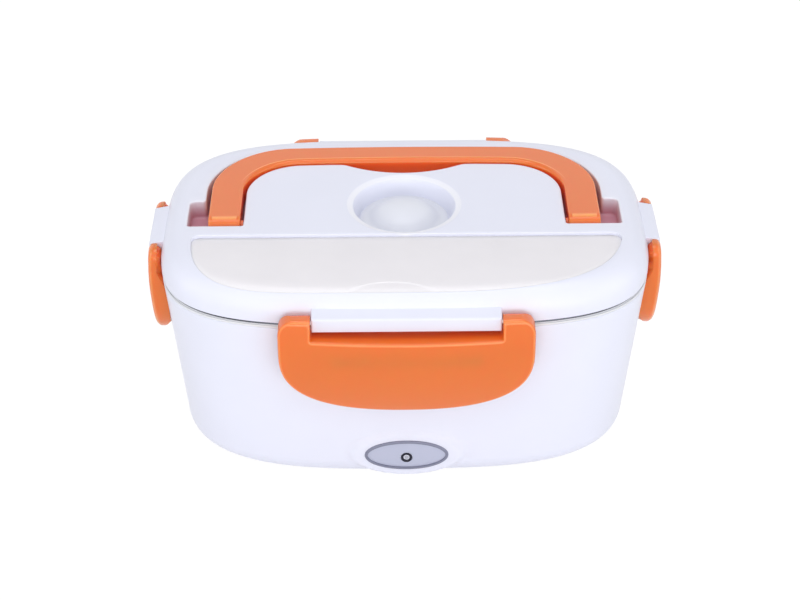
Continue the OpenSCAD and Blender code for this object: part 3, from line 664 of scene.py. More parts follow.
def moulded_skin_group():
    """Moulded plastic: cloudy colour, fine orange peel, hairline scuffs and edges painted paler as
    highlights
    """
    name = "Moulded Skin"
    if name in bpy.data.node_groups:
        return bpy.data.node_groups[name]
    tree, given, out = new_group(
        name,
        [("Color", COLOUR, (0.8, 0.8, 0.8, 1)), ("Edge Color", COLOUR, (1, 1, 1, 1)),
         ("Edge Wear", VALUE, 0.0), ("Cloud", VALUE, 0.03), ("Roughness", VALUE, 0.3),
         ("Scuffs", VALUE, 0.08), ("Grain Scale", VALUE, 900.0), ("Grain", VALUE, 0.5)],
        [("Color", COLOUR), ("Roughness", VALUE), ("Height", VALUE)])
    source = given.outputs
    cloud = noise(tree, 38.0, 3.0)
    toned = add_node(tree, "ShaderNodeHueSaturation")
    wire(tree, source["Color"], toned.inputs["Color"])
    low = maths(tree, "SUBTRACT", 1.0, source["Cloud"])
    wire(tree, scaled(tree, cloud, low, 1.0, 0.3, 0.7), toned.inputs["Value"])
    # the edges are painted paler by the Edge Highlight amount: a painted highlight
    edge_painted_paler = tinted(tree, source["Edge Wear"], toned.outputs["Color"], source["Edge Color"])
    wire(tree, edge_painted_paler, out.inputs["Color"])
    hair = noise(tree, 60.0, 4.0, (1.0, 16.0, 3.0))
    scuff = maths(tree, "MULTIPLY", scaled(tree, hair, 0.0, 1.0, 0.6, 0.74), source["Scuffs"])
    smudge = scaled(tree, noise(tree, 22.0, 2.0), -0.25, 0.25, 0.3, 0.7)
    uneven = maths(tree, "MULTIPLY", smudge, source["Scuffs"])
    rough = maths(tree, "ADD", maths(tree, "ADD", source["Roughness"], scuff), uneven)
    wire(tree, rough, out.inputs["Roughness"])
    peel = noise(tree, source["Grain Scale"], 1.0)
    fine = noise(tree, maths(tree, "MULTIPLY", source["Grain Scale"], 3.1), 1.0)
    height = maths(tree, "ADD", peel, maths(tree, "MULTIPLY", fine, 0.35))
    wire(tree, maths(tree, "MULTIPLY", height, source["Grain"]), out.inputs["Height"])
    return tree


def brushed_metal_group():
    """Metal with fine brush lines, a soft cloud and a few darker streaks"""
    name = "Brushed Metal"
    if name in bpy.data.node_groups:
        return bpy.data.node_groups[name]
    tree, given, out = new_group(
        name,
        [("Color", COLOUR, (0.6, 0.6, 0.6, 1)), ("Streak Color", COLOUR, (0.4, 0.4, 0.4, 1)),
         ("Streaks", VALUE, 0.4), ("Roughness", VALUE, 0.25), ("Spread", VALUE, 0.12)],
        [("Color", COLOUR), ("Roughness", VALUE), ("Height", VALUE)])
    source = given.outputs
    lines = noise(tree, 30.0, 6.0, (1.0, 1.0, 60.0))
    wide = noise(tree, 14.0, 2.0, (1.0, 1.0, 5.0))
    amount = maths(tree, "MULTIPLY", scaled(tree, lines, 0.0, 1.0, 0.35, 0.7), source["Streaks"])
    wire(tree, tinted(tree, amount, source["Color"], source["Streak Color"]), out.inputs["Color"])
    both = maths(tree, "ADD", maths(tree, "MULTIPLY", lines, 0.6), maths(tree, "MULTIPLY", wide, 0.4))
    rough = maths(tree, "MULTIPLY", scaled(tree, both, -0.5, 1.0, 0.3, 0.7), source["Spread"])
    wire(tree, maths(tree, "ADD", source["Roughness"], rough), out.inputs["Roughness"])
    wire(tree, lines, out.inputs["Height"])
    return tree


def empty_material(name):
    """A new material with no nodes in it; gives the material and its tree"""
    made = bpy.data.materials.new(name)
    made.use_nodes = True
    made.node_tree.nodes.clear()
    return made, made.node_tree


def start_material(name):
    """A material with a shader and an output, named in words"""
    made, tree = empty_material(name.replace("_", " ").title())
    shader = tree.nodes.new("ShaderNodeBsdfPrincipled")
    output = tree.nodes.new("ShaderNodeOutputMaterial")
    wire(tree, shader.outputs["BSDF"], output.inputs["Surface"])
    return made, tree, shader


def finish_with(tree, shader, group, relief):
    """Joins a group's colour, roughness and relief to the shader"""
    wire(tree, group.outputs["Color"], shader.inputs["Base Color"])
    wire(tree, group.outputs["Roughness"], shader.inputs["Roughness"])
    bump = add_node(tree, "ShaderNodeBump", Strength=1.0, Distance=relief * MM)
    wire(tree, group.outputs["Height"], bump.inputs["Height"])
    wire(tree, bump.outputs["Normal"], shader.inputs["Normal"])


def opaque(c):
    return (c[0], c[1], c[2], 1.0)


def painted(tree, layer):
    """The value that a mesh keeps for each of its points: `rim`, where its edges are painted as highlights
    or shade, or `glow`, where it is painted deeper as shade tinted by bounced light
    """
    return add_node(tree, "ShaderNodeAttribute", attribute_name=layer).outputs["Fac"]


def plastic(name, base, rough=0.3, edge=None, wear=0.35, cloud=0.03, scuffs=0.08, grain_scale=900.0,
            relief=0.004, **shader_values):
    """A moulded plastic or rubber; `edge` is the paler colour painted on its edges as a highlight, by
    `wear`
    """
    made, tree, shader = start_material(name)
    group = add_node(tree, "ShaderNodeGroup", node_tree=moulded_skin_group())
    for key, value in (("Color", opaque(base)), ("Edge Color", opaque(edge or base)), ("Cloud", cloud),
                       ("Roughness", rough), ("Scuffs", scuffs), ("Grain Scale", grain_scale),
                       ("Grain", 1.0)):
        group.inputs[key].default_value = value
    if edge:
        # the mesh's `rim` marks where the edges take the painted highlight
        wire(tree, maths(tree, "MULTIPLY", painted(tree, "rim"), wear), group.inputs["Edge Wear"])
    finish_with(tree, shader, group, relief)
    for key, value in shader_values.items():
        shader.inputs[key.replace("_", " ")].default_value = value
    return made


def metal(name, base, rough=0.25, streaks=0.35, relief=0.002, spread=0.12, edge=None):
    """A brushed metal; `edge` is a dark colour painted where the mesh marks its `rim`, as painted shade"""
    made, tree, shader = start_material(name)
    group = add_node(tree, "ShaderNodeGroup", node_tree=brushed_metal_group())
    darker = tuple(c * 0.8 for c in base)
    for key, value in (("Color", opaque(base)), ("Streak Color", opaque(darker)), ("Streaks", streaks),
                       ("Roughness", rough), ("Spread", spread)):
        group.inputs[key].default_value = value
    finish_with(tree, shader, group, relief)
    if edge:
        wire(tree, tinted(tree, painted(tree, "rim"), group.outputs["Color"], opaque(edge)),
             shader.inputs["Base Color"])
    shader.inputs["Metallic"].default_value = 1.0
    return made


def paint_bounce(made, deep):
    """Paints a plastic a deeper colour where it lies in shade and its neighbours' colour would bounce onto
    it: painted shade and painted bounced light
    """
    tree = made.node_tree
    shader = next(n for n in tree.nodes if n.bl_idname == "ShaderNodeBsdfPrincipled")
    plain = shader.inputs["Base Color"].links[0].from_socket
    wire(tree, tinted(tree, painted(tree, "glow"), plain, opaque(deep)), shader.inputs["Base Color"])


def clear_lens(name):
    """Clear plastic with a faintly milky, uneven surface"""
    made, tree, shader = start_material(name)
    cloudy = noise(tree, 700.0, 2.0)
    milk = tinted(tree, cloudy, (0.38, 0.385, 0.46, 1), (0.48, 0.485, 0.56, 1))
    wire(tree, scaled(tree, cloudy, 0.06, 0.16), shader.inputs["Roughness"])
    wire(tree, milk, shader.inputs["Base Color"])
    shader.inputs["Coat Weight"].default_value = 0.6
    shader.inputs["IOR"].default_value = 1.49
    return made


def make_materials(c):
    """Every finish of the object, by the name of the record's slot"""
    orange = tuple(c.orange)
    # the colour of the painted highlights on the orange plastic's edges and lines
    paler = (min(1, orange[0] * 1.25), orange[1] * 2.5, orange[2] * 11)
    even = (1, 1, 1)
    plastics = {
        # the `edge` colours of the white plastic, the orange plastic and the cover are painted highlights
        # on their edges, by `wear`
        "white_plastic": dict(base=c.white, rough=0.36, edge=(0.93, 0.93, 0.97), wear=0.6, cloud=0.015,
                              relief=0.003, Specular_IOR_Level=0.35, Coat_Weight=0.1, Coat_Roughness=0.2),
        "liner_plastic": dict(base=c.inner, rough=0.36, cloud=0.02),
        "base_plastic": dict(base=(0.70, 0.71, 0.76), rough=0.6, cloud=0.04, grain_scale=1500.0,
                             relief=0.02),
        "orange_plastic": dict(base=orange, edge=paler, wear=1.0, cloud=0.02, scuffs=0.05, Coat_Weight=0.3,
                               Coat_Roughness=0.1, Specular_IOR_Level=0.45, Subsurface_Weight=0.5,
                               Subsurface_Scale=0.007, Subsurface_Radius=(1, 0.15, 0.05)),
        "cover_frosted": dict(base=c.frosted, rough=0.42, edge=(0.90, 0.90, 0.92), wear=0.3, cloud=0.035,
                              scuffs=0.14, grain_scale=1300.0, relief=0.006, Subsurface_Weight=0.25,
                              Subsurface_Scale=0.003, Subsurface_Radius=even),
        "vent_silicone": dict(base=c.silicone, rough=0.4, cloud=0.02, scuffs=0.1, Subsurface_Weight=0.3,
                              Subsurface_Scale=0.003, Subsurface_Radius=even),
        "seal_silicone": dict(base=(0.70, 0.71, 0.73), rough=0.5),
        "foot_rubber": dict(base=(0.022, 0.022, 0.025), rough=0.75, cloud=0.3, scuffs=0.2,
                            grain_scale=2200.0, relief=0.02),
        "thermostat_body": dict(base=(0.012, 0.012, 0.014), rough=0.5, cloud=0.3, relief=0.01),
        "fuse_body": dict(base=(0.48, 0.32, 0.15), rough=0.35, cloud=0.25, relief=0.006),
        "board_green": dict(base=(0.012, 0.09, 0.03), cloud=0.3, Coat_Weight=0.5),
        "bezel_plastic": dict(base=c.dark, rough=0.42, cloud=0.2, relief=0.003, Specular_IOR_Level=0.3),
        "badge_grey": dict(base=c.ring, rough=0.34, cloud=0.06, scuffs=0.12, grain_scale=2600.0,
                           relief=0.002, Metallic=0.25),
        "badge_face": dict(base=c.badge, rough=0.38, cloud=0.04, scuffs=0.1, grain_scale=2600.0,
                           relief=0.003, Metallic=0.15),
        "wire_brown": dict(base=(0.075, 0.02, 0.006), rough=0.45, cloud=0.2, relief=0.006),
        "wire_blue": dict(base=(0.01, 0.04, 0.32), rough=0.45, cloud=0.2, relief=0.006),
        "wire_red": dict(base=(0.38, 0.008, 0.006), rough=0.45, cloud=0.2, relief=0.006),
    }
    metals = {
        # the container's dark rim colour is painted shade in the gap under the lid
        "container_steel": dict(base=c.steel, rough=0.24, edge=(0.10, 0.105, 0.13)),
        "plate_aluminium": dict(base=(0.72, 0.72, 0.74), rough=0.3, streaks=0.5),
        "screw_steel": dict(base=(0.50, 0.50, 0.52), rough=0.3, streaks=0.4),
        "prong_brass": dict(base=(0.62, 0.55, 0.42), rough=0.22, streaks=0.3),
    }
    made = {slot: plastic(slot, **values) for slot, values in plastics.items()}
    made.update((slot, metal(slot, **values)) for slot, values in metals.items())
    made["heater_case"] = metal("heater_housing", base=(0.45, 0.45, 0.47), rough=0.42, streaks=0.6)
    made["lamp_clear"] = clear_lens("lamp_clear")
    # painted shade tinted by light bounced off the orange parts: mauve in the white channel, deep red in
    # the orange slots and gaps
    paint_bounce(made["white_plastic"], (0.56, 0.22, 0.30))
    paint_bounce(made["orange_plastic"], (1, 0.1, 0.02))
    return made


FINISHES = {}


def material(slot):
    """The finish for a slot of the record; all are made when the first is asked for"""
    if not FINISHES:
        FINISHES.update(make_materials(bpy.context.scene.lunch_colours))
    return FINISHES[slot]


# ---------------------------------------------------------------- geometry node tools

def node_tool(name, inputs):
    """An empty geometry tree with named inputs"""
    tree = bpy.data.node_groups.new(name, "GeometryNodeTree")
    tree.interface.new_socket(name="Geometry", in_out="INPUT", socket_type="NodeSocketGeometry")
    for label, kind in inputs:
        tree.interface.new_socket(name=label, in_out="INPUT", socket_type=kind)
    tree.interface.new_socket(name="Geometry", in_out="OUTPUT", socket_type="NodeSocketGeometry")
    return tree, tree.nodes.new("NodeGroupInput").outputs, tree.nodes.new("NodeGroupOutput").inputs


def close_tool(tree, given, geometry, out):
    """Ends a tree in Realize Instances and Set Material"""
    real = tree.nodes.new("GeometryNodeRealizeInstances")
    paint = tree.nodes.new("GeometryNodeSetMaterial")
    wire(tree, geometry, real.inputs["Geometry"])
    wire(tree, real.outputs["Geometry"], paint.inputs["Geometry"])
    wire(tree, given["Material"], paint.inputs["Material"])
    wire(tree, paint.outputs["Geometry"], out["Geometry"])


def copies_tool():
    """Puts a shape on every point of the mesh it is used on"""
    name = "Copies On Points"
    if name in bpy.data.node_groups:
        return bpy.data.node_groups[name]
    tree, given, out = node_tool(name, [("Shape", "NodeSocketObject"), ("Scale", "NodeSocketFloat"),
                                        ("Material", "NodeSocketMaterial")])
    shape = tree.nodes.new("GeometryNodeObjectInfo")
    spread = tree.nodes.new("GeometryNodeInstanceOnPoints")
    wire(tree, given["Shape"], shape.inputs["Object"])
    wire(tree, given["Geometry"], spread.inputs["Points"])
    wire(tree, shape.outputs["Geometry"], spread.inputs["Instance"])
    wire(tree, given["Scale"], spread.inputs["Scale"])
    close_tool(tree, given, spread.outputs["Instances"], out)
    return tree


def sweep_tool():
    """Sweeps a profile object along the edges of the mesh it is used on"""
    name = "Profile Along Loop"
    if name in bpy.data.node_groups:
        return bpy.data.node_groups[name]
    tree, given, out = node_tool(name, [("Profile", "NodeSocketObject"),
                                        ("Material", "NodeSocketMaterial")])
    path = tree.nodes.new("GeometryNodeMeshToCurve")
    info = tree.nodes.new("GeometryNodeObjectInfo")
    profile = tree.nodes.new("GeometryNodeMeshToCurve")
    upright = tree.nodes.new("GeometryNodeSetCurveNormal")
    upright.mode = "Z_UP"
    sweep = tree.nodes.new("GeometryNodeCurveToMesh")
    wire(tree, given["Geometry"], path.inputs["Mesh"])
    wire(tree, given["Profile"], info.inputs["Object"])
    wire(tree, info.outputs["Geometry"], profile.inputs["Mesh"])
    wire(tree, path.outputs["Curve"], upright.inputs["Curve"])
    wire(tree, upright.outputs["Curve"], sweep.inputs["Curve"])
    wire(tree, profile.outputs["Curve"], sweep.inputs["Profile Curve"])
    close_tool(tree, given, sweep.outputs["Mesh"], out)
    return tree


def run_tool(tool, name, points, edges, finish, **inputs):
    """Runs a geometry tree on points in millimetres and keeps its result as a plain mesh"""
    base = bpy.data.meshes.new(name)
    base.from_pydata([tuple(np.array(p) * MM) for p in points], edges, [])
    obj = placed(name, base)
    modifier = obj.modifiers.new(tool.name, "NODES")
    modifier.node_group = tool
    inputs["Material"] = material(finish)
    sockets = {s.name: s.identifier for s in tool.interface.items_tree if s.in_out == "INPUT"}
    for label, value in inputs.items():
        modifier[sockets[label]] = value
    mesh = evaluated(obj)
    bpy.data.objects.remove(obj)
    bpy.data.meshes.remove(base)
    for value in inputs.values():
        if isinstance(value, bpy.types.Object):
            bpy.data.objects.remove(value)
    mesh.name = name
    tidy(mesh)
    return shown(name, mesh, finish)


def loop_edges(count):
    return [(i, (i + 1) % count) for i in range(count)]


def profile_object(points):
    """A closed flat profile in millimetres, for the sweep tool"""
    mesh = bpy.data.meshes.new("profile")
    mesh.from_pydata([(x * MM, y * MM, 0) for x, y in points], loop_edges(len(points)), [])
    return placed("profile", mesh)


# ---------------------------------------------------------------- case, well and container

def sizes(group):
    """The sizes of one property group: case, lid, handle or latch"""
    return Sizes(getattr(bpy.context.scene, "lunch_" + group))


def four_sides(case, long, short):
    """The turn, the distance of the seam and a size for each side that has a latch"""
    return ((FRONT, case.half_depth, long), (REAR, case.half_depth, long),
            (RIGHT, case.half_width, short), (LEFT, case.half_width, short))


def case_ring(case, half_x, square, z, angles):
    """The case's outline at a half width, as points at height z"""
    slim = case.half_width - case.half_depth
    flat = rounded_oval(half_x, half_x - slim, square, angles)
    return np.column_stack([flat, np.full(len(flat), z)])


def squareness(case, z):
    """The outline's exponent at height z"""
    return case.square_foot + (case.square_top - case.square_foot) * min(1.0, z / case.shell_top)


def bend(a, z, radius, start, end, steps):
    """(half width, height) pairs around a rounded edge, with angles from straight down"""
    turns = [math.radians(start + (end - start) * k / steps) for k in range(steps + 1)]
    return [(a + radius * math.sin(turn), z - radius * math.cos(turn)) for turn in turns]


def skinned(case, pairs, angles):
    """The case's rings for a list of (half width, height) pairs"""
    return [case_ring(case, a, squareness(case, z), z, angles) for a, z in pairs]


def swollen(points, z0, face):
    """Moves the front of the wall out to an oval pad centred at height z0"""
    pad_w, pad_h = 26.5, 12.4
    rim, fade = 1.06, 0.16   # where the pad ends, and over how much of its size it does so
    reach = np.hypot(points[:, 0] / pad_w, (points[:, 2] - z0) / pad_h)
    t = np.clip((rim - reach) / fade, 0, 1)
    blend = np.where(points[:, 1] < 0, t * t * (3 - 2 * t), 0)
    out = np.minimum(points[:, 1], -face)
    moved = points.copy()
    moved[:, 1] = points[:, 1] * (1 - blend) + out * blend
    return moved


def ridge(shape, seam, half, degrees):
    """The ridge on the case that a latch snaps under"""
    base, proud, z = seam - 2.0, seam + 1.6, 82.5
    section = [(base, z - 0.8), (proud - 0.4, z - 0.1), (proud, z + 0.3), (proud, z + 2.1),
               (proud - 0.4, z + 2.5), (base, z + 3.9)]
    ends = [np.array([(x, -out, height) for out, height in section]) for x in (-half, half)]
    ends = [turned(end, degrees) for end in ends]
    shape.rings(ends, caps=True)


def build_case():
    case = sizes("case")
    crowd = [(math.radians(a), 0.36, 0.012) for a in (90, 270)]
    angles = around(180, crowd)
    foot, top = case.foot_half_width, case.shell_top
    wall_top = case.half_width - SEAM_STEP
    fillet_z = BASE_BOTTOM + case.foot_fillet
    outside = [(foot - 18.7, BASE_TOP), (foot - 18.7, 1.3), (foot - 18.4, BASE_BOTTOM)]
    outside += bend(foot - case.foot_fillet, fillet_z, case.foot_fillet, 2, 90, 22)
    wall = [(foot + (wall_top - foot) * t, fillet_z + (top - fillet_z) * t)
            for t in [k / 60 for k in range(1, 60)]]
    pads_end = 34   # the wall has close rings up to here, for the badge pad and the inlet pad
    outside += [p for p in wall if p[1] < pads_end] + [p for p in wall[::5] if p[1] >= pads_end]
    outside += bend(wall_top - 0.5, top - 0.5, 0.5, 95, 180, 4)
    inner_top = wall_top - case.wall
    inside = [(inner_top + 0.3, top), (inner_top, top - 0.3)]
    inside += bend(foot - case.wall - 9.3, 13.8, 9.3, 90, 0, 8)
    inside += [(foot - 23, 4.5), (foot - 23, BASE_TOP)]
    shape = Shape()
    rings = skinned(case, outside, angles)
    rings = [swollen(r, case.badge_height, case.pad_face) for r in rings]
    rings = [turned(swollen(turned(r, 180), case.inlet_height, case.pad_face), 180) for r in rings]
    shape.rings(rings + skinned(case, inside, angles), closed=True)
    case_obj = shape.piece("outer_wall", "white_plastic")

    def behind(p):
        return np.stack([p[:, 0], p[:, 2], p[:, 1] + case.inlet_height], 1)

    gap, past = 0.4, 2
    hole_w, hole_h = INLET_FLANGE
    flange = prism("flange_cut", stadium(hole_w + gap, hole_h + gap), case.pad_face - FLANGE_DEPTH,
                   case.pad_face + past, behind)
    hole_w, hole_h = INLET_BODY
    body = prism("body_cut", stadium(hole_w + gap, hole_h + gap), case.pad_face - 14, case.pad_face + past,
                 behind)
    cut(case_obj, [flange, body])
    ridges = Shape()
    for degrees, seam, half in four_sides(case, 34, 7):
        ridge(ridges, seam, half, degrees)
    joined(case_obj, ridges.piece("ridges", "white_plastic"))
    settle(case_obj, "base", "white_plastic", "outer_shell")


def build_well():
    case = sizes("case")
    angles = around(240)
    top, rim, outer = case.shell_top, case.shell_top + RIM_RISE, case.half_width
    wall, gap, fillet = 1.8, 1.2, FLOOR_FILLET   # the gap lies between the well and the container
    mouth = outer - MOUTH_INSET + gap
    foot = mouth - FOOT_DRAFT
    floor = WELL_FLOOR
    outside = bend(foot + wall - fillet, floor - wall + fillet, fillet, 0, 90, 8)
    outside += [(mouth + wall - 0.4, top - 5.2), (mouth + 2.2, top - 4.5)]
    skirt = outer - SEAM_STEP - case.wall - 0.8
    outside += [(skirt - 0.3, top - 4.5), (skirt, top - 4.2), (skirt, top), (outer - 0.5, top)]
    outside += [(outer - SEAM_STEP, top + 0.3), (outer - SEAM_STEP, rim - 0.55), (outer - 0.4, rim - 0.35),
                (outer - 0.85, rim - 0.3), (outer - 1.0, rim)]
    inside = [(mouth + 0.8, rim), (mouth + 0.25, rim - 0.2), (mouth, rim - 0.8)]
    inside += bend(foot - fillet, floor + fillet, fillet, 90, 0, 8)
    shape = Shape()
    shape.rings(skinned(case, outside + inside, angles), caps=True)
    well = shape.piece("well", "liner_plastic")
    hole = prism("plate_hole", circle(34.4, count=96), floor - 4, floor + 4, lambda p: p)
    cut(well, [hole])
    pillars = Shape()
    high = floor - 0.8
    for x, y, _ in corners_of(*SCREW_PLACES):
        pillars.lathe([(0, 5.0), (3.9, 5.0), (4.5, 5.6), (4.5, high), (0, high)], (x, y), 48)
    joined(well, pillars.piece("pillars", "liner_plastic"))
    settle(well, "base", "liner_plastic", "inner_liner")


def build_container():
    case = sizes("case")
    angles = around(240)
    rim_z, steel, foot_z, fillet = case.shell_top + RIM_RISE, 0.8, 24.4, FLOOR_FILLET
    top = case.half_width - MOUTH_INSET
    foot = top - FOOT_DRAFT
    edge = case.half_width - 0.85
    outside = bend(foot - fillet, foot_z + fillet, fillet, 0, 90, 10)
    outside += [(top - 0.05, rim_z - 1), (top + 0.3, rim_z - 0.15), (top + 0.9, rim_z), (edge - 0.4, rim_z)]
    outside += [(edge - 0.12, rim_z + 0.12), (edge, rim_z + 0.4), (edge - 0.12, rim_z + 0.68),
                (edge - 0.4, rim_z + 0.8)]
    inside = [(top + 0.7, rim_z + 0.8), (top - 0.2, rim_z + 0.55), (top - 0.65, rim_z - 0.1),
              (top - steel, rim_z - 1)]
    inside += bend(foot - fillet, foot_z + fillet, fillet - steel, 90, 0, 10)
    # a shallow ring pressed into the floor stiffens it
    for inset, lift in ((20, 0), (21.5, 0.5), (23, 0.7), (26, 0.7), (27.5, 0.5), (29, 0)):
        inside.append((foot - fillet - inset + 14, foot_z + steel + lift))
    shape = Shape()
    shape.rings(skinned(case, outside + inside, angles), caps=True)
    rolled = edge - 0.45   # the rolled rim is painted darker from here outwards, as painted shade in the gap under the lid
    shape.rims = [np.repeat([float(a > rolled) for a, _ in outside + inside], len(angles))]
    pot = shape.piece("steel_container", "container_steel")
    settle(pot, "food_container", "container_steel", "food_container")


# ---------------------------------------------------------------- lid

def shoulder_inset(case, points):
    """How far inside the lid's outline each point lies, by halving"""
    low = np.zeros(len(points))
    high = np.full(len(points), case.half_depth - 0.01)
    x, y = np.abs(points[:, 0]), np.abs(points[:, 1])
    n = case.square_top
    for _ in range(40):
        middle = (low + high) / 2
        outside = (x / (case.half_width - middle)) ** n + (y / (case.half_depth - middle)) ** n > 1
        high = np.where(outside, middle, high)
        low = np.where(outside, low, middle)
    return low


def lid_brim(case, lid, points):
    """Height of the lid's outer surface: a flat top and a shoulder that is rounder at the rear"""
    rise = 3.0
    shoulder = lid.shoulder + 2.4 * np.clip(points[:, 1] / 55, 0, 1)
    lean = np.clip(1 - shoulder_inset(case, points) / shoulder, 0, 1)
    return case.seam + rise + (lid.height - rise) * np.sqrt(1 - lean ** 2)


def bail(x, y, radius, bow, front, step):
    """A handle's outline: straight arms, round rear corners and a bowed rear edge"""
    turn = [(x - radius + radius * math.cos(t), y - radius + radius * math.sin(t))
            for t in np.radians(np.arange(0, 90.1, 3))]
    rear = [(u, y) for u in np.linspace(x - radius, 0, int((x - radius) / 2.5) + 1)[1:]]
    arm = [(x, v) for v in np.arange(front, y - radius - 0.1, step)]
    right = np.array(arm + turn + rear)
    lifted = right[:, 1] > y - radius - 0.01
    right[:, 1] += np.where(lifted, bow * (1 - (right[:, 0] / x) ** 2), 0)
    left = right[-2::-1] * [-1, 1]
    return np.concatenate([right, left])


def channel_outline(handle):
    """The handle channel with its side pockets and the finger scoop, counter-clockwise"""
    step = 2.0
    bar_gap, side_gap, inner_gap, pocket = 1.4, 2.3, 1.2, 9.5
    front = -handle.pivot_y - handle.thickness / 2 - 0.6
    outer_x, pocket_x = handle.arm_x + side_gap, handle.arm_x + pocket
    outer = bail(outer_x, handle.bar_y + bar_gap, 37.6, BAR_BOW, 10.5, step)
    inner_x = handle.arm_x - handle.arm_width - 0.1
    inner_y = handle.bar_y - handle.bar_width + 0.5 - inner_gap
    inner = bail(inner_x, inner_y, 24.8, GRIP_BOW, front + 2, step)[::-1]

    # the scoop is an arc that runs softly into the bowed wall in front of the bar
    scoop_w, scoop_d, blend = 56.8, 8.4, 0.8
    scoop_r = ((scoop_w / 2) ** 2 + scoop_d ** 2) / (2 * scoop_d)
    near = (np.abs(inner[:, 0]) < scoop_w / 2 + 4) & (inner[:, 1] > 30)
    span = inner[near]
    x = np.linspace(span[0, 0], span[-1, 0], 61)
    arc = inner_y + GRIP_BOW - scoop_d + scoop_r - np.sqrt(scoop_r ** 2 - x ** 2)
    bar = inner_y + GRIP_BOW * (1 - (x / inner_x) ** 2)
    soft = 0.5 * (arc + bar - np.sqrt((arc - bar) ** 2 + blend))
    first = np.argmax(near)
    inner = np.concatenate([inner[:first], np.column_stack([x, soft]), inner[first + len(span):]])

    pocket_rear, front_r, rear_r, step_r = 8, 1.2, 3.0, 1.6
    right = [(pocket_x, front, front_r), (pocket_x, pocket_rear, rear_r), (outer_x, pocket_rear, step_r)]
    left = [(-x, y, r) for x, y, r in right[::-1]]
    corners = right + [(x, y, 0) for x, y in outer] + left + [(-inner_x, front, front_r)]
    corners += [(x, y, 0) for x, y in inner] + [(inner_x, front, front_r)]
    return softened(corners, step)


def moon_outline(lid, grow, rear, radius):
    """The cutlery cover's half moon, with a fuller left end, counter-clockwise"""
    spacing, step = 1.8, 2.0
    a, b = lid.cover_half_width + grow, lid.cover_half_depth + grow
    angles = np.linspace(math.pi, 2 * math.pi, 400)
    left = rounded_oval(a - 2.6, b, 4.6, angles)
    right = rounded_oval(a + 0.1, b, 3.2, angles)
    curve = np.where((angles < 1.5 * math.pi)[:, None], left, right)
    curve = curve[curve[:, 1] < -rear]
    kept = [curve[0]]
    for p in curve[1:]:
        if np.linalg.norm(p - kept[-1]) > spacing:
            kept.append(p)
    corner_end = -rear - radius * 1.6
    corners = [(kept[0][0], -rear, radius)] + [(x, y, 0) for x, y in kept if y < corner_end]
    corners.append((kept[-1][0], -rear, radius))
    return softened(corners, step)


def lid_outline(case, inset, angles):
    """The lid's outline at the seam, moved inwards"""
    return case_ring(case, case.half_width - inset, case.square_top, 0, angles)[:, :2]


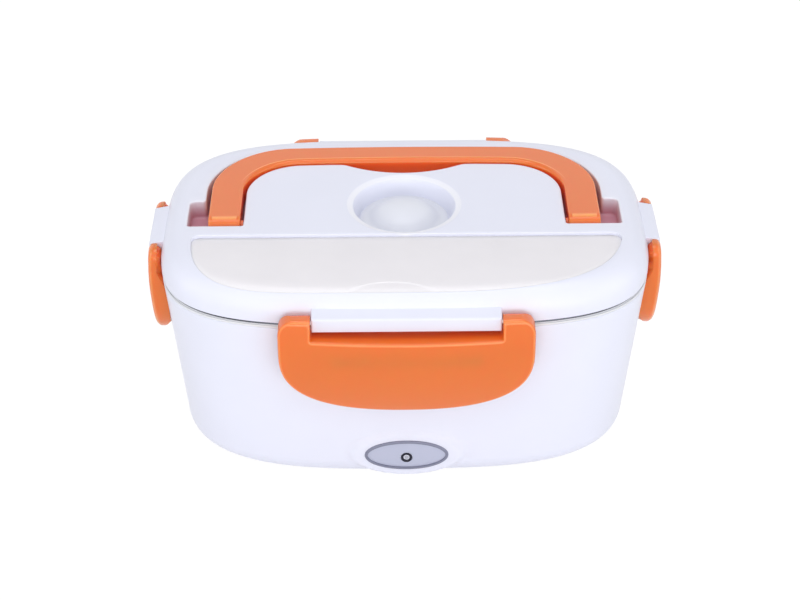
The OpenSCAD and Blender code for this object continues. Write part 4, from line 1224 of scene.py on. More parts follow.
def build_lid():
    case, lid, latch = sizes("case"), sizes("lid"), sizes("latch")
    top_z = case.seam + lid.height
    floor_z = top_z - lid.channel_depth
    ledge_z = top_z - COVER_SINK - lid.cover_thickness - 0.1
    tray_z = 92.8
    edge = lid.edge
    crowd = [(math.radians(a), 0.1, 0.02) for a in (90, 270)]
    angles = around(300, crowd)
    outer = lid_outline(case, 0, angles)
    inner_wall = lid_outline(case, LID_WALL_INSET, angles)
    turns = np.radians([5, 10, 16, 22, 29, 36, 43, 50, 57, 64, 71, 78, 84, 90])
    shoulders = [lid_outline(case, lid.shoulder * (1 - math.cos(t)), angles) for t in turns]
    channel = channel_outline(sizes("handle"))
    recess = moon_outline(lid, 0.05, lid.cover_rear - 0.3, 4.2)
    tray = moon_outline(lid, -7.0, lid.cover_rear + 3.0, 4.0)
    vent = (0, lid.vent_y)
    hole = circle(VENT_HOLE, vent, 40)
    bowl_r = [0, 20.6, 20.95, 21.25, 21.5, 21.75, 22.3, 22.9, 23.4, 23.55, 23.75, 24.0, 25.2, 26.3, 26.5,
              26.75]
    bowl_z = [8.9, 8.9, 8.82, 8.6, 8.2, 7.6, 5.3, 3.0, 1.3, 1.05, 0.88, 0.78, 0.42, 0.1, 0.03, 0.0]
    bowl = [circle(r, vent, 120) for r in [12] + bowl_r[1:]]
    # each hollow's lip, fillet and draft
    channel_shape, recess_shape, tray_shape = (edge, 1.2, 0.25), (0.4, 0.3, 0.08), (0.6, 2.5, 0.8)
    lines = [inner_wall, hole] + shoulders + bowl + hollow_lines(channel, *channel_shape)
    lines += hollow_lines(recess, *recess_shape) + hollow_lines(tray, *tray_shape)
    points, triangles, rings = facets([outer] + lines, grid_dots(outer, 4.0), 1.3)

    brim = lid_brim(case, lid, points)
    beyond = distance(points, channel)
    z = hollow(beyond, brim, floor_z, *channel_shape)
    z = np.minimum(z, hollow(distance(points, recess), brim, ledge_z, *recess_shape))
    in_tray = distance(points, tray)
    z = np.where(in_tray < tray_shape[0], np.minimum(z, hollow(in_tray, ledge_z, tray_z, *tray_shape)), z)
    r = np.hypot(points[:, 0], points[:, 1] - lid.vent_y)
    z = np.minimum(z, brim - np.interp(r, bowl_r, bowl_z))

    # the lip of the channel and the ring of the vent recess are painted paler, as painted highlights
    lip = np.clip(1 - np.abs(beyond - edge / 2) / edge, 0, 1) * 0.5
    rim = np.maximum(lip, np.interp(r, [23.6, 23.9, 26.2, 26.6], [0, 1, 1, 0]))
    # the channel is painted a deeper, warmer colour with depth, most of all beside the arms: painted shade
    # tinted by light bounced off the handle
    sides = np.clip((np.abs(points[:, 0]) - 50) / 16, 0, 1)
    deep = np.clip((brim - z - 0.3) / 3.5, 0, 1)
    glow = np.where(beyond < 0.1, deep * (0.35 + 0.5 * sides), 0)

    middle = points[triangles].mean(1)
    solid = is_inside(middle, outer) & ~is_inside(middle, hole)
    shape = Shape()
    top = shape.add(np.column_stack([points, z]), triangles[solid], rim, glow)
    under = solid & is_inside(middle, inner_wall)
    low = shape.add(np.column_stack([points, z - lid.wall]), triangles[under][:, ::-1])

    # (inset, height above the seam) down the lid's lower edge and up to its inner wall
    lower_edge = ((0, 1.6), (0, 0.75), (0.06, 0.5), (0.2, 0.36), (0.45, 0.3), (0.8, 0.3), (1.1, 0),
                  (1.9, 0), (2.12, 0.08), (LID_WALL_INSET, 0.3))
    chain = [[top + i for i in rings[0]]]
    for inset, rise in lower_edge:
        ring = case_ring(case, case.half_width - inset, case.square_top, case.seam + rise, angles)
        start = shape.add(ring, [])
        chain.append([start + i for i in range(len(angles))])
    chain.append([low + i for i in rings[1]])
    for first, second in zip(chain, chain[1:]):
        shape.faces += band(first, second)
    shape.faces += band([top + i for i in rings[2]], [low + i for i in rings[2]])
    lid_obj = shape.piece("lid_top", "white_plastic")

    extras = Shape()
    collar_r, collar_top, collar_low = 5.8, 97, 89.6   # the collar that guides the plug's stem
    collar = ((VENT_HOLE, collar_top), (collar_r, collar_top),
              (collar_r, collar_low), (VENT_HOLE, collar_low))
    extras.rings([np.column_stack([circle(r, vent, 40), np.full(40, h)]) for r, h in collar], closed=True)
    for degrees, seam, long in four_sides(case, latch.lug_long, latch.lug_short):
        lug(extras, case, seam, long / 2, degrees)
    joined(lid_obj, extras.piece("extras", "white_plastic"))
    settle(lid_obj, "lid", "white_plastic", "lid_shell")


def lug(shape, case, seam, half, degrees):
    """A block on the lid's side that a latch turns on, with rounded edges and a sloping top"""
    low, high, edge = case.seam + 0.2, case.seam + 6.9, 0.8
    face, slope = seam + 5.6, 0.18
    outline = softened([(-half, low, 0.3), (half, low, 0.3), (half, high, 0.5), (-half, high, 0.5)], 2.5)

    def front(points, d):
        return face - edge_drop(d, edge)

    def back(points, d):
        return np.full(len(points), seam - 1.5)

    part = Shape()
    # the lug's edges take the default painted highlight of `edge_highlight`
    plate(part, outline, front, back, edge_lines(outline, edge), [], np.zeros((0, 2)))
    points = np.concatenate(part.points)
    points[:, 1] += np.where(points[:, 1] > high - 0.9, slope * (face - points[:, 2]), 0)
    shape.add(turned(standing(points), degrees), part.faces)


def build_lid_lining():
    case, lid = sizes("case"), sizes("lid")
    angles = around(240)
    plug = case.half_width - MOUTH_INSET - 2.1
    flange = case.half_width - 2.5
    panel, under_flange, step = 88.0, 94.6, 96.0
    pairs = [(plug - 30, panel + 0.5), (plug - 12, panel + 0.5), (plug - 11, panel), (plug - 1.8, panel)]
    pairs += bend(plug - 1.8, panel + 1.8, 1.8, 5, 90, 5)
    pairs += [(plug, under_flange - 0.3), (plug + 0.3, under_flange), (flange - 0.2, under_flange),
              (flange, under_flange + 0.2), (flange, step - 0.2), (flange - 0.2, step), (plug - 1.6, step),
              (plug - 1.6, panel + 3.2), (plug - 3.2, panel + 1.6), (plug - 30, panel + 1.6)]
    shape = Shape()
    shape.rings([case_ring(case, a, case.square_top, z, angles) for a, z in pairs], caps=True)
    lining = shape.piece("lid_lining", "liner_plastic")
    hole = prism("vent_hole", circle(VENT_HOLE, (0, lid.vent_y)), 86, 92, lambda p: p)
    cut(lining, [hole])
    settle(lining, "lid", "liner_plastic", "lid_liner")

    seal_z = 93.2
    inner, outer = plug + 0.4, case.half_width - 3.5
    half_w, half_h = 0.5 * (outer - inner), 1.4
    section = [(-half_w, half_h - 0.2), (-half_w, -0.8), (-half_w + 0.5, -half_h), (-0.9, -half_h),
               (-0.6, -0.9), (0.6, -0.9), (0.9, -half_h), (half_w - 0.5, -half_h), (half_w, -0.8),
               (half_w, half_h - 0.2), (half_w - 0.2, half_h), (-half_w + 0.2, half_h)]
    path = case_ring(case, 0.5 * (inner + outer), case.square_top, seal_z, angles)
    gasket = run_tool(sweep_tool(), "lid_gasket", path, loop_edges(len(path)), "seal_silicone",
                      Profile=profile_object([(y, x) for x, y in section]))
    settle(gasket, "lid", "seal_silicone", "lid_seal")


def build_cover():
    case, lid = sizes("case"), sizes("lid")
    seat = case.seam + lid.height - COVER_SINK
    edge, step = 0.25, (2.4, 3.0)   # the underside steps up between these distances from the edge
    outline = moon_outline(lid, 0, lid.cover_rear, 4.0)
    lines = edge_lines(outline, edge, FEW_BENDS) + [grown(outline, -d) for d in step]
    notch_r, notch_depth = 31.4, 6
    notch = np.array([-6.5, -lid.cover_half_depth + notch_depth - notch_r])
    notch_lines = [circle(r, notch, 120) for r in (31.9, notch_r, 31.0, 30.6)]
    notch_lines = [divided(line[is_inside(line, grown(outline, -0.2))], 30) for line in notch_lines]

    def front(points, d):
        reach = np.linalg.norm(points[:, :2] - notch, axis=1)
        pressed = np.interp(reach, [30.6, notch_r, 31.9], [0.4, 0.34, 0.0])
        behind = lid.cover_rear + np.array([0, 3, 18, 30])
        sunk = np.interp(-points[:, 1], behind, [1.45, 1.35, 0.25, 0.14])
        return lid_brim(case, lid, points) - sunk - edge_drop(d, edge) - pressed

    def back(points, d):
        return seat - lid.cover_thickness + np.interp(d, [0, 0.4, *step], [0.3, 0, 0, 0.35])

    shape = Shape()
    # the cover's edges are painted paler over 1.8 mm, as a painted highlight
    plate(shape, outline, front, back, lines + notch_lines, lines, grid_dots(outline, 3.0),
          rim=lambda points, d: np.clip(1 - d / 1.8, 0, 1))
    half = lid.cover_half_width
    # the bead along the rear edge, and the thinner rod through it whose ends are the hinge pins
    for low, high, r in ((-half + 3, half - 3, 0.8), (-half - 1, half + 1, 0.6)):
        rod(shape, low, high, r, -lid.cover_rear - 0.8, seat - 0.8)
    cover = shape.piece("cutlery_cover_moon", "cover_frosted")
    settle(cover, "cutlery_cover", "cover_frosted", "cutlery_cover")


# ---------------------------------------------------------------- handle, latches and plug

def build_handle():
    handle = sizes("handle")
    step = 2.0
    half, edge = handle.thickness / 2, handle.edge
    axis_y, axis_z = -handle.pivot_y, handle.pivot_z
    front = axis_y - half
    outer = bail(handle.arm_x, handle.bar_y, 36, BAR_BOW, front + 8, step)
    inner_x = handle.arm_x - handle.arm_width + 1.5
    inner = bail(inner_x, handle.bar_y - handle.bar_width + 0.5, 26, GRIP_BOW, front + 8, step)[::-1]
    corners = [(handle.arm_x, front, 0)] + [(x, y, 0) for x, y in outer]
    corners += [(-handle.arm_x, front, 0), (-inner_x, front, 0)] + [(x, y, 0) for x, y in inner]
    outline = softened(corners + [(inner_x, front, 0)], step)
    lines = [grown(outline, -out) for out in (0.03, 0.1, 0.22, 0.4, 0.6, 0.95, 1.35, 1.8, 2.2, 2.6)]
    # the arms' front ends are half round
    levels = [axis_y - half * math.sin(math.radians(t)) for t in (80, 70, 60, 50, 40, 30, 20, 10, 0)]
    strokes = rows(levels + [1.0 - handle.pivot_y], inner_x, handle.arm_x, outline)
    past = front - 20
    outside = np.array([(handle.arm_x, past)] + list(outer) + [(-handle.arm_x, past)])
    inside = np.array([(-inner_x, past)] + list(inner) + [(inner_x, past)])[::-1]

    def edges_of(points):
        """Distances from the outer side and from the side that a hand holds"""
        return np.maximum(-distance(points, outside), 0), np.maximum(distance(points, inside), 0)

    def height(points, d):
        out, held = edges_of(points)
        q = np.clip((axis_y - points[:, 1]) / half, 0, 1)
        full = half * np.sqrt(1 - q ** 2)
        grip = np.interp(points[:, 1], [18, 38], [0.7, handle.inner_edge])
        drop = np.maximum(edge_drop(out, edge), edge_drop(held, grip))
        return full - np.minimum(drop * full / half, full)

    def upper(points, d):
        return axis_z + height(points, d)

    def lower(points, d):
        return axis_z - height(points, d)

    def painted_highlights(points, d):
        """Painted highlights: paler lines along the bar's grip, the outer edges and the arms' ends"""
        out, held = edges_of(points)
        line = np.clip(1.6 - 1.6 * np.abs(held - handle.inner_edge) / 0.4, 0, 1)
        line *= np.interp(points[:, 1], [22, 36], [0, 1])
        end = np.clip(1.5 - 1.5 * np.abs(points[:, 1] + handle.pivot_y + 0.8) / 1.3, 0, 1)
        end *= (out > 1.5) * (held > 1.5)
        return np.maximum(np.maximum(line, np.clip(1 - out / 0.8, 0, 1) * 0.35), end)

    def depth(points, d, under):
        """Painted shade tinted by bounced light: a deeper colour on the wall that a hand holds, most of all
        on the arms
        """
        held = edges_of(points)[1]
        return ((d <= 0) & (held < 0.05)) * np.interp(points[:, 1], [20, 38], [0.95, 0.6])

    shape = Shape()
    plate(shape, outline, upper, lower, lines, lines, grid_dots(outline, 3.0), rim=painted_highlights, strokes=strokes,
          glow=depth)
    boss_r, boss_bounce = 2.4, 0.5   # around the pivot pins, on the arms' inner sides; the bosses take painted shade tinted by bounced light
    for side in (-1, 1):
        ends = sorted((side * (inner_x - 1.3), side * (inner_x + 1)))
        rod(shape, ends[0], ends[1], boss_r, axis_y, axis_z)
        shape.glows[-1] += boss_bounce
    bail_obj = shape.piece("carry_handle", "orange_plastic", sharp=math.radians(40))
    settle(bail_obj, "handle", "orange_plastic", "handle")


def half_oval(half, square, tip, inset, high):
    """A latch's outline below `high`: straight sides, then a half oval to the tip"""
    low = tip + 33
    turn = np.radians(np.arange(0, 90.1, 3))
    c, s = np.cos(turn), np.sin(turn)
    reach = (c ** square + s ** square) ** (-1 / square)
    right = np.stack([(half - inset) * c * reach, low - (low - tip - inset) * s * reach], 1)
    sides = [(half - inset, high)] + [tuple(p) for p in right]
    return sides + [(-x, z) for x, z in sides[-2::-1]]


def latch_piece(name, case, latch, long_side, degrees, node):
    """A snap latch: long ones stand at the front and the rear, short ones on the left and the right.
    It is drawn flat, across and up, and its plate is bowed both ways"""
    step = 2.0
    if long_side:
        seam, proud, lug_long, ear = case.half_depth, latch.proud_long, latch.lug_long, latch.ear_long
        plan_r, square, rib = 800, 2.5, 32   # bow across, exponent of the lower end, half of the snap rib
        brow_r, soft, corner = 1.9, 1.3, 7.5   # roundings of the top, of the face's edge and of the ears
        slot_step, relief = 2.0, [1.6, 1.6, 0, 0, 0, 0]
    else:
        seam, proud, lug_long, ear = case.half_width, latch.proud_short, latch.lug_short, latch.ear_short
        plan_r, square, rib = 520, 2.8, 5
        brow_r, soft, corner = 3.6, 2.8, 5.4
        slot_step, relief = 0, [-0.8, -2.4, -2.6, -2.4, -1.7, -0.4]
    lug_half = lug_long / 2 + 0.4
    half = lug_half + ear
    face, edge, slot_r, ear_corner_r = seam + proud, latch.edge, 0.7, 0.6
    bow_r, bow_z = 89.0, 81.0
    pin_z, pin_out, ear_r = case.seam + PIN_RISE, seam + 3.6, 3.3
    slot = latch.slot + slot_step
    under_lug = []
    if long_side:   # the long plate's edge under the lug bows down in the middle
        across = np.linspace(-1, 1, 13)[1:-1]
        under_lug = [(lug_half * t, latch.slot + 1.2 + 0.8 * t * t, 0) for t in across]

    curve = half_oval(half, square, latch.tip, 0, 90)
    corners = [(lug_half, slot, slot_r), (lug_half, latch.top, ear_corner_r), (half, latch.top, corner)]
    corners += [(x, z, 0) for x, z in curve[1:-1]]
    corners += [(-half, latch.top, corner), (-lug_half, latch.top, ear_corner_r), (-lug_half, slot, slot_r)]
    outline = softened((corners + under_lug)[::-1], step)
    end = (half, latch.top + 9, 0) if long_side else (half, latch.top, corner)
    body = [end] + [(x, z, 0) for x, z in curve[1:-1]] + [(-end[0],) + end[1:]]
    body = softened(body[::-1], step)
    curve = half_oval(half, square, latch.tip, 2.4, 85.3)
    hollow_loop = [(x, z, 0 if 0 < i < len(curve) - 1 else 1.5) for i, (x, z) in enumerate(curve)]
    hollow_loop = softened(hollow_loop[::-1], step)
    hollow_shape = (0.4, 0.8, 0.5)   # lip, fillet and draft

    def bowed(points):
        """Distance of the face from the middle of the case"""
        z = points[:, 1]
        if long_side:
            lean = bow_r - np.sqrt(bow_r ** 2 - (z - bow_z) ** 2)
        else:   # leans in towards the tip, and a little towards the top
            below = (82 - z + np.hypot(82 - z, 8)) / 2
            lean = 1.2 + 0.058 * below + 0.0025 * np.maximum(z - 78, 0) ** 2
        return face - lean - points[:, 0] ** 2 / (2 * plan_r)

    def in_body(points):
        return np.maximum(-distance(points, body), 0)

    def front(points, d):
        round_off = np.maximum(edge_drop(d, edge), edge_drop(in_body(points), soft))
        if long_side:
            brow = np.maximum(round_off, edge_drop(latch.top - points[:, 1], brow_r))
            round_off = np.where(points[:, 1] > latch.slot, brow, round_off)
        return bowed(points) - round_off

    def back(points, d):
        z = points[:, 1]
        flat = seam + 0.3 + np.interp(z, latch.tip + np.array([0, 6, 12, 21, 32, 38]), relief)
        heel = pin_out - np.sqrt(np.maximum(ear_r ** 2 - np.clip(z - pin_z, 0, ear_r) ** 2, 0))
        flat = np.where(z > pin_z, np.maximum(flat, heel), flat)
        if not long_side:
            ends = np.interp(z, latch.tip + np.array([4, 10, 28, 40]), [1, 0, 0, 1])
            flat += ends * edge_drop(in_body(points), 2.6)
        floor = bowed(points) - latch.wall
        deep = -hollow(distance(points, hollow_loop), -flat, -floor, *hollow_shape)
        return np.minimum(deep, front(points, d) - 1.0)

    def painted_highlights(points, d):
        """Painted highlights: paler lines along the edge and, on a long latch, along the brow"""
        line = np.clip(1 - np.abs(d - 0.7) / 0.55, 0, 1)
        if long_side:
            brow = np.clip(1 - np.abs(points[:, 1] - latch.top + 0.85 * brow_r) / 0.5, 0, 1)
            line = np.maximum(line, brow * (d > 0.5))
        return 0.5 * line

    def depth(points, d, under):
        """Painted shade tinted by bounced light: a deeper colour behind the plate, most of all in the slot
        around the lug
        """
        in_slot = (np.abs(points[:, 0]) < lug_half + 0.5) & (points[:, 1] < latch.top - 1)
        return under * np.where(d > 0, 0.5, 0.9 * in_slot)

    lines = edge_lines(outline, edge, BENDS + (1.35,))
    if not long_side:
        lines += edge_lines(outline, soft, (0.5, 0.7, 0.85, 1.0))
    levels = [pin_z + ear_r * math.sin(math.radians(t)) for t in (0, 20, 38, 54, 67, 78, 85)]
    levels += [latch.top - brow_r * (1 - math.sin(math.radians(t))) for t in (0, 12, 25, 39, 54, 68, 80)]
    shape = Shape()
    plate(shape, outline, front, back, lines, hollow_lines(hollow_loop, *hollow_shape),
          grid_dots(outline, 3.2), rim=painted_highlights, glow=depth,
          strokes=rows(sorted(levels), lug_half, half, outline))

    rib_low, rib_high = 78.1, 81.1
    rib_face = bowed(np.array([[0, 79.6]]))[0] - 1.4
    bar(shape, (-rib, rib_low, seam + 1.9), (rib, rib_high, rib_face), 0.35)
    piece = shape.piece(name, "orange_plastic", lambda p: turned(standing(p), degrees))
    settle(piece, node, "orange_plastic", node)


def build_latches():
    case, latch = sizes("case"), sizes("latch")
    for name, long_side, degrees in (("front", True, FRONT), ("rear", True, REAR),
                                     ("left", False, LEFT), ("right", False, RIGHT)):
        latch_piece(name + "_snap", case, latch, long_side, degrees, name + "_latch")


def build_plug():
    case, lid = sizes("case"), sizes("lid")
    base = case.seam + lid.height - lid.channel_depth
    stem = [(0, -8), (2.6, -8), (3.2, -7.8), (3.8, -7), (3.9, -6), (3.9, 0)]
    disc = [(20.0, 0), (20.4, 0.3), (20.4, 0.8), (20.0, 1.2), (18.0, 1.25), (16.4, 1.5), (15.0, 2.3),
            (14.2, 3.3)]
    dome = [(14.5 * math.cos(t), 1.2 + 6.6 * math.sin(t)) for t in np.radians(np.arange(88, 20, -6))]
    profile = stem + disc + dome[::-1] + [(0, 7.8)]
    shape = Shape()
    shape.lathe([(r, base + z) for r, z in profile], (0, lid.vent_y))
    plug = shape.piece("steam_plug", "vent_silicone", sharp=math.radians(50))
    settle(plug, "vent_plug", "vent_silicone", "vent_plug")


# ---------------------------------------------------------------- badge, lamp and inlet

def build_badge():
    case = sizes("case")
    face, z = case.pad_face, case.badge_height
    width, height, band, lamp_drop = 38.4, 16.6, 1.3, 1.4

    def at_badge(points):
        return standing(points) + [0, 0, z]

    def at_lamp(points):
        return standing(points) + [0, 0, z - lamp_drop]

    across = band / 2
    section = [(-across, -0.8), (across, -0.8), (across, 0.15), (0.52, 0.36), (0.3, 0.48), (0, 0.52),
               (-0.3, 0.48), (-0.52, 0.36), (-across, 0.15)]
    path = rounded_oval(width / 2 - across, height / 2 - across, 2, around(128))
    ring = run_tool(sweep_tool(), "badge_band", np.column_stack([path, np.zeros(len(path))]),
                    loop_edges(len(path)), "badge_grey",
                    Profile=profile_object([(y, x) for x, y in section]))
    move_points(ring, lambda p: at_badge(p + [0, 0, face]))
    settle(ring, "base", "badge_grey", "badge_ring")

    inset, thickness = band + 0.05, 0.8
    outline = rounded_oval(width / 2 - inset, height / 2 - inset, 2, around(160))
    hole = circle(2.7, (0, -lamp_drop))
    lines = [grown(outline, -0.1), grown(outline, -0.4), grown(hole, 0.1), grown(hole, 0.3)]

    def front(points, d):
        return face + 0.1 - edge_drop(d, 0.12) - 0.02 * (points[:, 1] / 7) ** 2

    def back(points, d):
        return np.full(len(points), face - thickness)

    shape = Shape()
    plate(shape, outline, front, back, lines, [], grid_dots(outline, 1.6), [hole])
    settle(shape.piece("badge_oval", "badge_face", at_badge), "base", "badge_face", "badge_plate")

    bezel = Shape()
    profile = [(1.55, -3.4), (2.6, -3.4), (2.6, 0.3), (2.52, 0.43), (2.35, 0.5), (2.05, 0.47), (1.55, 0.3),
               (1.4, 0.15), (1.36, 0), (1.36, -0.25), (1.55, -0.4), (1.55, -3.4)]
    bezel.lathe([(r, face + out) for r, out in profile], count=64)
    settle(bezel.piece("lamp_collar", "bezel_plastic", at_lamp), "base", "bezel_plastic", "lamp_bezel")
    lens = Shape()
    turns = np.radians(np.arange(0, 91, 10))
    dome = [(1.3 * math.sin(t), face - 0.3 + 0.5 * math.cos(t)) for t in turns]
    stem = [(0, face - 4), (1.35, face - 4), (1.5, face - 3.85), (1.5, face - 0.6), (1.3, face - 0.5)]
    lens.lathe(stem + dome[::-1], count=48)
    settle(lens.piece("lamp_cap", "lamp_clear", at_lamp), "base", "lamp_clear", "lamp_lens")


def move_points(obj, place):
    """Moves a mesh's points, given and placed in millimetres"""
    mesh = obj.data
    points = np.empty(len(mesh.vertices) * 3)
    mesh.vertices.foreach_get("co", points)
    points = place(points.reshape(-1, 3) / MM) * MM
    mesh.vertices.foreach_set("co", points.astype(np.float32).ravel())
    tidy(mesh)


def copies(name, shape, finish, places):
    """A piece made of copies of a shape, one at each place"""
    return run_tool(copies_tool(), name, places, [], finish, Shape=shape, Scale=1.0)


def build_inlet():
    case = sizes("case")
    face, z = case.pad_face, case.inlet_height
    outline, body, socket = stadium(*INLET_FLANGE), stadium(*INLET_BODY), stadium(16.8, 8.2)
    edge, socket_depth, body_depth = 0.5, 12, 15.3
    socket_shape = (0.6, 0.5, 0.12)   # lip, fillet and draft

    def front(points, d):
        z = face - edge_drop(d, edge)
        return hollow(distance(points, socket), z, face - socket_depth, *socket_shape)

    def back(points, d):
        deep = np.interp(-distance(points, body), [0, 0.08, 0.5], [0, body_depth, 15.8])
        return face - FLANGE_DEPTH - deep

    def to_rear(points):
        return turned(standing(points), REAR)

    shape = Shape()
    front_lines = edge_lines(outline, edge, FEW_BENDS) + hollow_lines(socket, *socket_shape)
    back_lines = [body, grown(body, -0.08), grown(body, -0.5)]
    plate(shape, outline, front, back, front_lines, back_lines, grid_dots(outline, 1.8))
    housing = shape.piece("inlet_socket", "bezel_plastic", lambda p: turned(standing(p) + [0, 0, z], REAR))
    settle(housing, "base", "bezel_plastic", "inlet_housing")

    prong = Shape()
    prong_r, prong_x = 1.2, 4.3
    turns = np.radians(np.arange(0, 91, 15))
    tip = [(prong_r * math.cos(t), face - 3.7 + prong_r * math.sin(t)) for t in turns]
    prong.lathe([(0, face - 20), (1.05, face - 20), (prong_r, face - 19.85)] + tip, count=32)
    shape_obj = prong.piece("prong", "prong_brass", to_rear)
    prongs = copies("inlet_prongs", shape_obj, "prong_brass", [(-prong_x, 0, z), (prong_x, 0, z)])
    settle(prongs, "base", "prong_brass", "inlet_pins")


# ---------------------------------------------------------------- underside

def build_base():
    case = sizes("case")
    half = case.foot_half_width - 19
    slim = case.half_width - case.half_depth
    edge = 0.35
    outline = rounded_oval(half, half - slim, case.square_foot, around(200))
    slot_x, slot_y, slot_r = 17, 0.9, 0.7
    slots = [softened([(-slot_x, v - slot_y, slot_r), (slot_x, v - slot_y, slot_r),
                       (slot_x, v + slot_y, slot_r), (-slot_x, v + slot_y, slot_r)], 3)
             for v in range(-15, 16, 5)]
    screw_places = [place[:2] for place in corners_of(*SCREW_PLACES)]
    screws = [circle(1.6, place, 32) for place in screw_places]
    sinks = [circle(3.2, place) for place in screw_places]
    feet = [circle(6.1, place[:2], 64) for place in corners_of(*FOOT_PLACES)]
    sink_z, foot_z = 3.2, 1.8
    hollow_shape = (0.3, 0.2, 0.05)   # lip, fillet and draft
    boss_r, boss_foot_r, boss_z = 4.5, 4.6, 5.0

    def bottom(points, d):
        z = -BASE_BOTTOM - edge_drop(d, edge)
        for loops, depth in ((sinks, sink_z), (feet, foot_z)):
            for loop in loops:
                z = np.minimum(z, hollow(distance(points, loop), -BASE_BOTTOM, -depth, *hollow_shape))
        return -z

    def top(points, d):
        z = np.full(len(points), BASE_TOP)
        for x, y in screw_places:
            near = np.hypot(points[:, 0] - x, points[:, 1] - y)
            z = np.maximum(z, np.interp(near, [boss_r, boss_foot_r], [boss_z, BASE_TOP]))
        return z

    lines = edge_lines(outline, edge, FEW_BENDS)
    for slot in slots:
        lines += edge_lines(slot, -edge, FEW_BENDS[1:])
    for loop in sinks + feet:
        lines += hollow_lines(loop, *hollow_shape)
    bosses = [circle(r, place) for place in screw_places for r in (boss_r, boss_foot_r)]
    shape = Shape()
    plate(shape, outline, bottom, top, lines, bosses, grid_dots(outline, 6), slots + screws)
    settle(shape.piece("base_plate", "base_plastic"), "base", "base_plastic", "base_cover")

    head = Shape()
    head.lathe([(0, 1.2), (1.4, 1.22), (2.1, 1.35), (2.6, 1.6), (2.8, 1.95), (2.8, 3.1), (2.7, 3.2),
                (1.25, 3.2), (1.25, 14.6), (0.9, 15), (0, 15)], count=48)
    screw = head.piece("screw", "screw_steel")
    cross = Shape()
    for x, y in ((1.8, 0.4), (0.4, 1.8)):
        bar(cross, (-x, -y, 0.5), (x, y, 2.2), 0.05)
    cut(screw, [cross.piece("cross", "screw_steel")])
    screws = copies("cover_screws", screw, "screw_steel", corners_of(*SCREW_PLACES))
    settle(screws, "base", "screw_steel", "base_screws")

    foot = Shape()
    foot.lathe([(0, 0.35), (2.8, 0.35), (3.1, 0.25), (3.4, 0.05), (3.7, 0), (5.3, 0), (5.75, 0.12),
                (6, 0.45), (6, 1.7), (5.9, 1.8), (0, 1.8)], count=64)
    feet = copies("stand_feet", foot.piece("foot", "foot_rubber"), "foot_rubber",
                  corners_of(*FOOT_PLACES))
    settle(feet, "base", "foot_rubber", "rubber_feet")


def build_heater():
    """The heating plate, with its turned face and the bosses that the clamp's screws go into"""
    floor, hub = WELL_FLOOR, 19.6
    grooves, first, pitch = 14, 2.0, 2.4
    shape = Shape()
    face = []
    for k in range(1, grooves + 1):
        r = first + pitch * k
        face += [(r - 0.3, floor + 1), (r, floor + 0.94), (r + 0.3, floor + 1)]
    shape.lathe([(0, hub), (33.8, hub), (34, hub + 0.2), (34, floor), (37.8, floor), (38, floor + 0.2),
                 (38, floor + 0.8), (37.8, floor + 1)] + face[::-1] + [(0, floor + 1)], count=160)
    boss = [(1.55, 13.6), (3.8, 13.6), (4, 13.8), (4, hub + 0.1), (1.55, hub + 0.1), (1.55, 13.6)]
    for x in (-28, 28):
        shape.lathe(boss, (x, 0), 48)
    settle(shape.piece("hot_plate", "plate_aluminium"), "base", "plate_aluminium", "heating_plate")


FRAME_FINISHES = {
    "heater_element": "heater_case", "heater_clamp": "screw_steel", "clamp_screws": "screw_steel",
    "thermostat": "thermostat_body", "thermal_fuse": "fuse_body", "lamp_board": "board_green",
    "board_screws": "screw_steel", "lamp_led": "lamp_clear", "live_wire": "wire_brown",
    "neutral_wire": "wire_blue", "lamp_wire": "wire_red", "long_latch_pins": "screw_steel",
    "side_latch_pins": "screw_steel", "handle_pins": "screw_steel",
}


def finish_frame():
    """Gives the nodes that stay from the frame their finishes"""
    for node, finish in FRAME_FINISHES.items():
        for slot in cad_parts[node].material_slots:
            slot.material = material(finish)


# ---------------------------------------------------------------- stage

CAMERA_LOOK = (-0.00214, 0.0, 0.05641)
CAMERA_DISTANCE = 0.92823
CAMERA_LENS = 88.242
CAMERA_ANGLES = (-0.48, 33.87, -0.22)   # azimuth, elevation and roll in degrees

# name, place, height of the point above the middle that it looks at, width, depth and power
LAMPS = (("Front Lamp", (-0.15, -1.28, 1.1), 0.05, 2.0, 1.5, 7.0),
         ("Low Lamp", (0.25, -1.5, 0.3), 0.06, 2.0, 0.45, 8.1),
         ("Top Lamp", (0.0, -0.05, 1.5), 0.08, 1.3, 0.5, 5.7),
         ("Left Lamp", (-1.3, -0.3, 0.6), 0.06, 0.9, 0.9, 3.2),
         ("Right Lamp", (1.3, -0.3, 0.6), 0.06, 0.9, 0.9, 2.8),
         ("Rear Lamp", (0.0, 1.4, 1.0), 0.08, 2.0, 1.2, 2.5))


def camera_axes():
    """The camera's right, up and back"""
    azimuth, elevation, roll = (math.radians(a) for a in CAMERA_ANGLES)
    back = Vector((math.sin(azimuth) * math.cos(elevation), -math.cos(azimuth) * math.cos(elevation),
                   math.sin(elevation)))
    right = (-back).cross(Vector((0, 0, 1))).normalized()
    up = right.cross(-back)
    c, s = math.cos(roll), math.sin(roll)
    return right * c + up * s, up * c - right * s, back


def soft_lamp(name, place, target, width, depth, power):
    """A flat lamp that looks at a point"""
    light = bpy.data.lights.new(name, "AREA")
    light.shape, light.size, light.size_y, light.energy = "RECTANGLE", width, depth, power
    obj = placed(name, light)
    obj.location = place
    obj.rotation_euler = (Vector(target) - Vector(place)).to_track_quat("-Z", "Y").to_euler()


def seen_directly(tree):
    """1 for camera, glossy and transmission rays, 0 for the others"""
    path = add_node(tree, "ShaderNodeLightPath")
    first = maths(tree, "MAXIMUM", path.outputs["Is Camera Ray"], path.outputs["Is Glossy Ray"])
    return maths(tree, "MAXIMUM", first, path.outputs["Is Transmission Ray"])


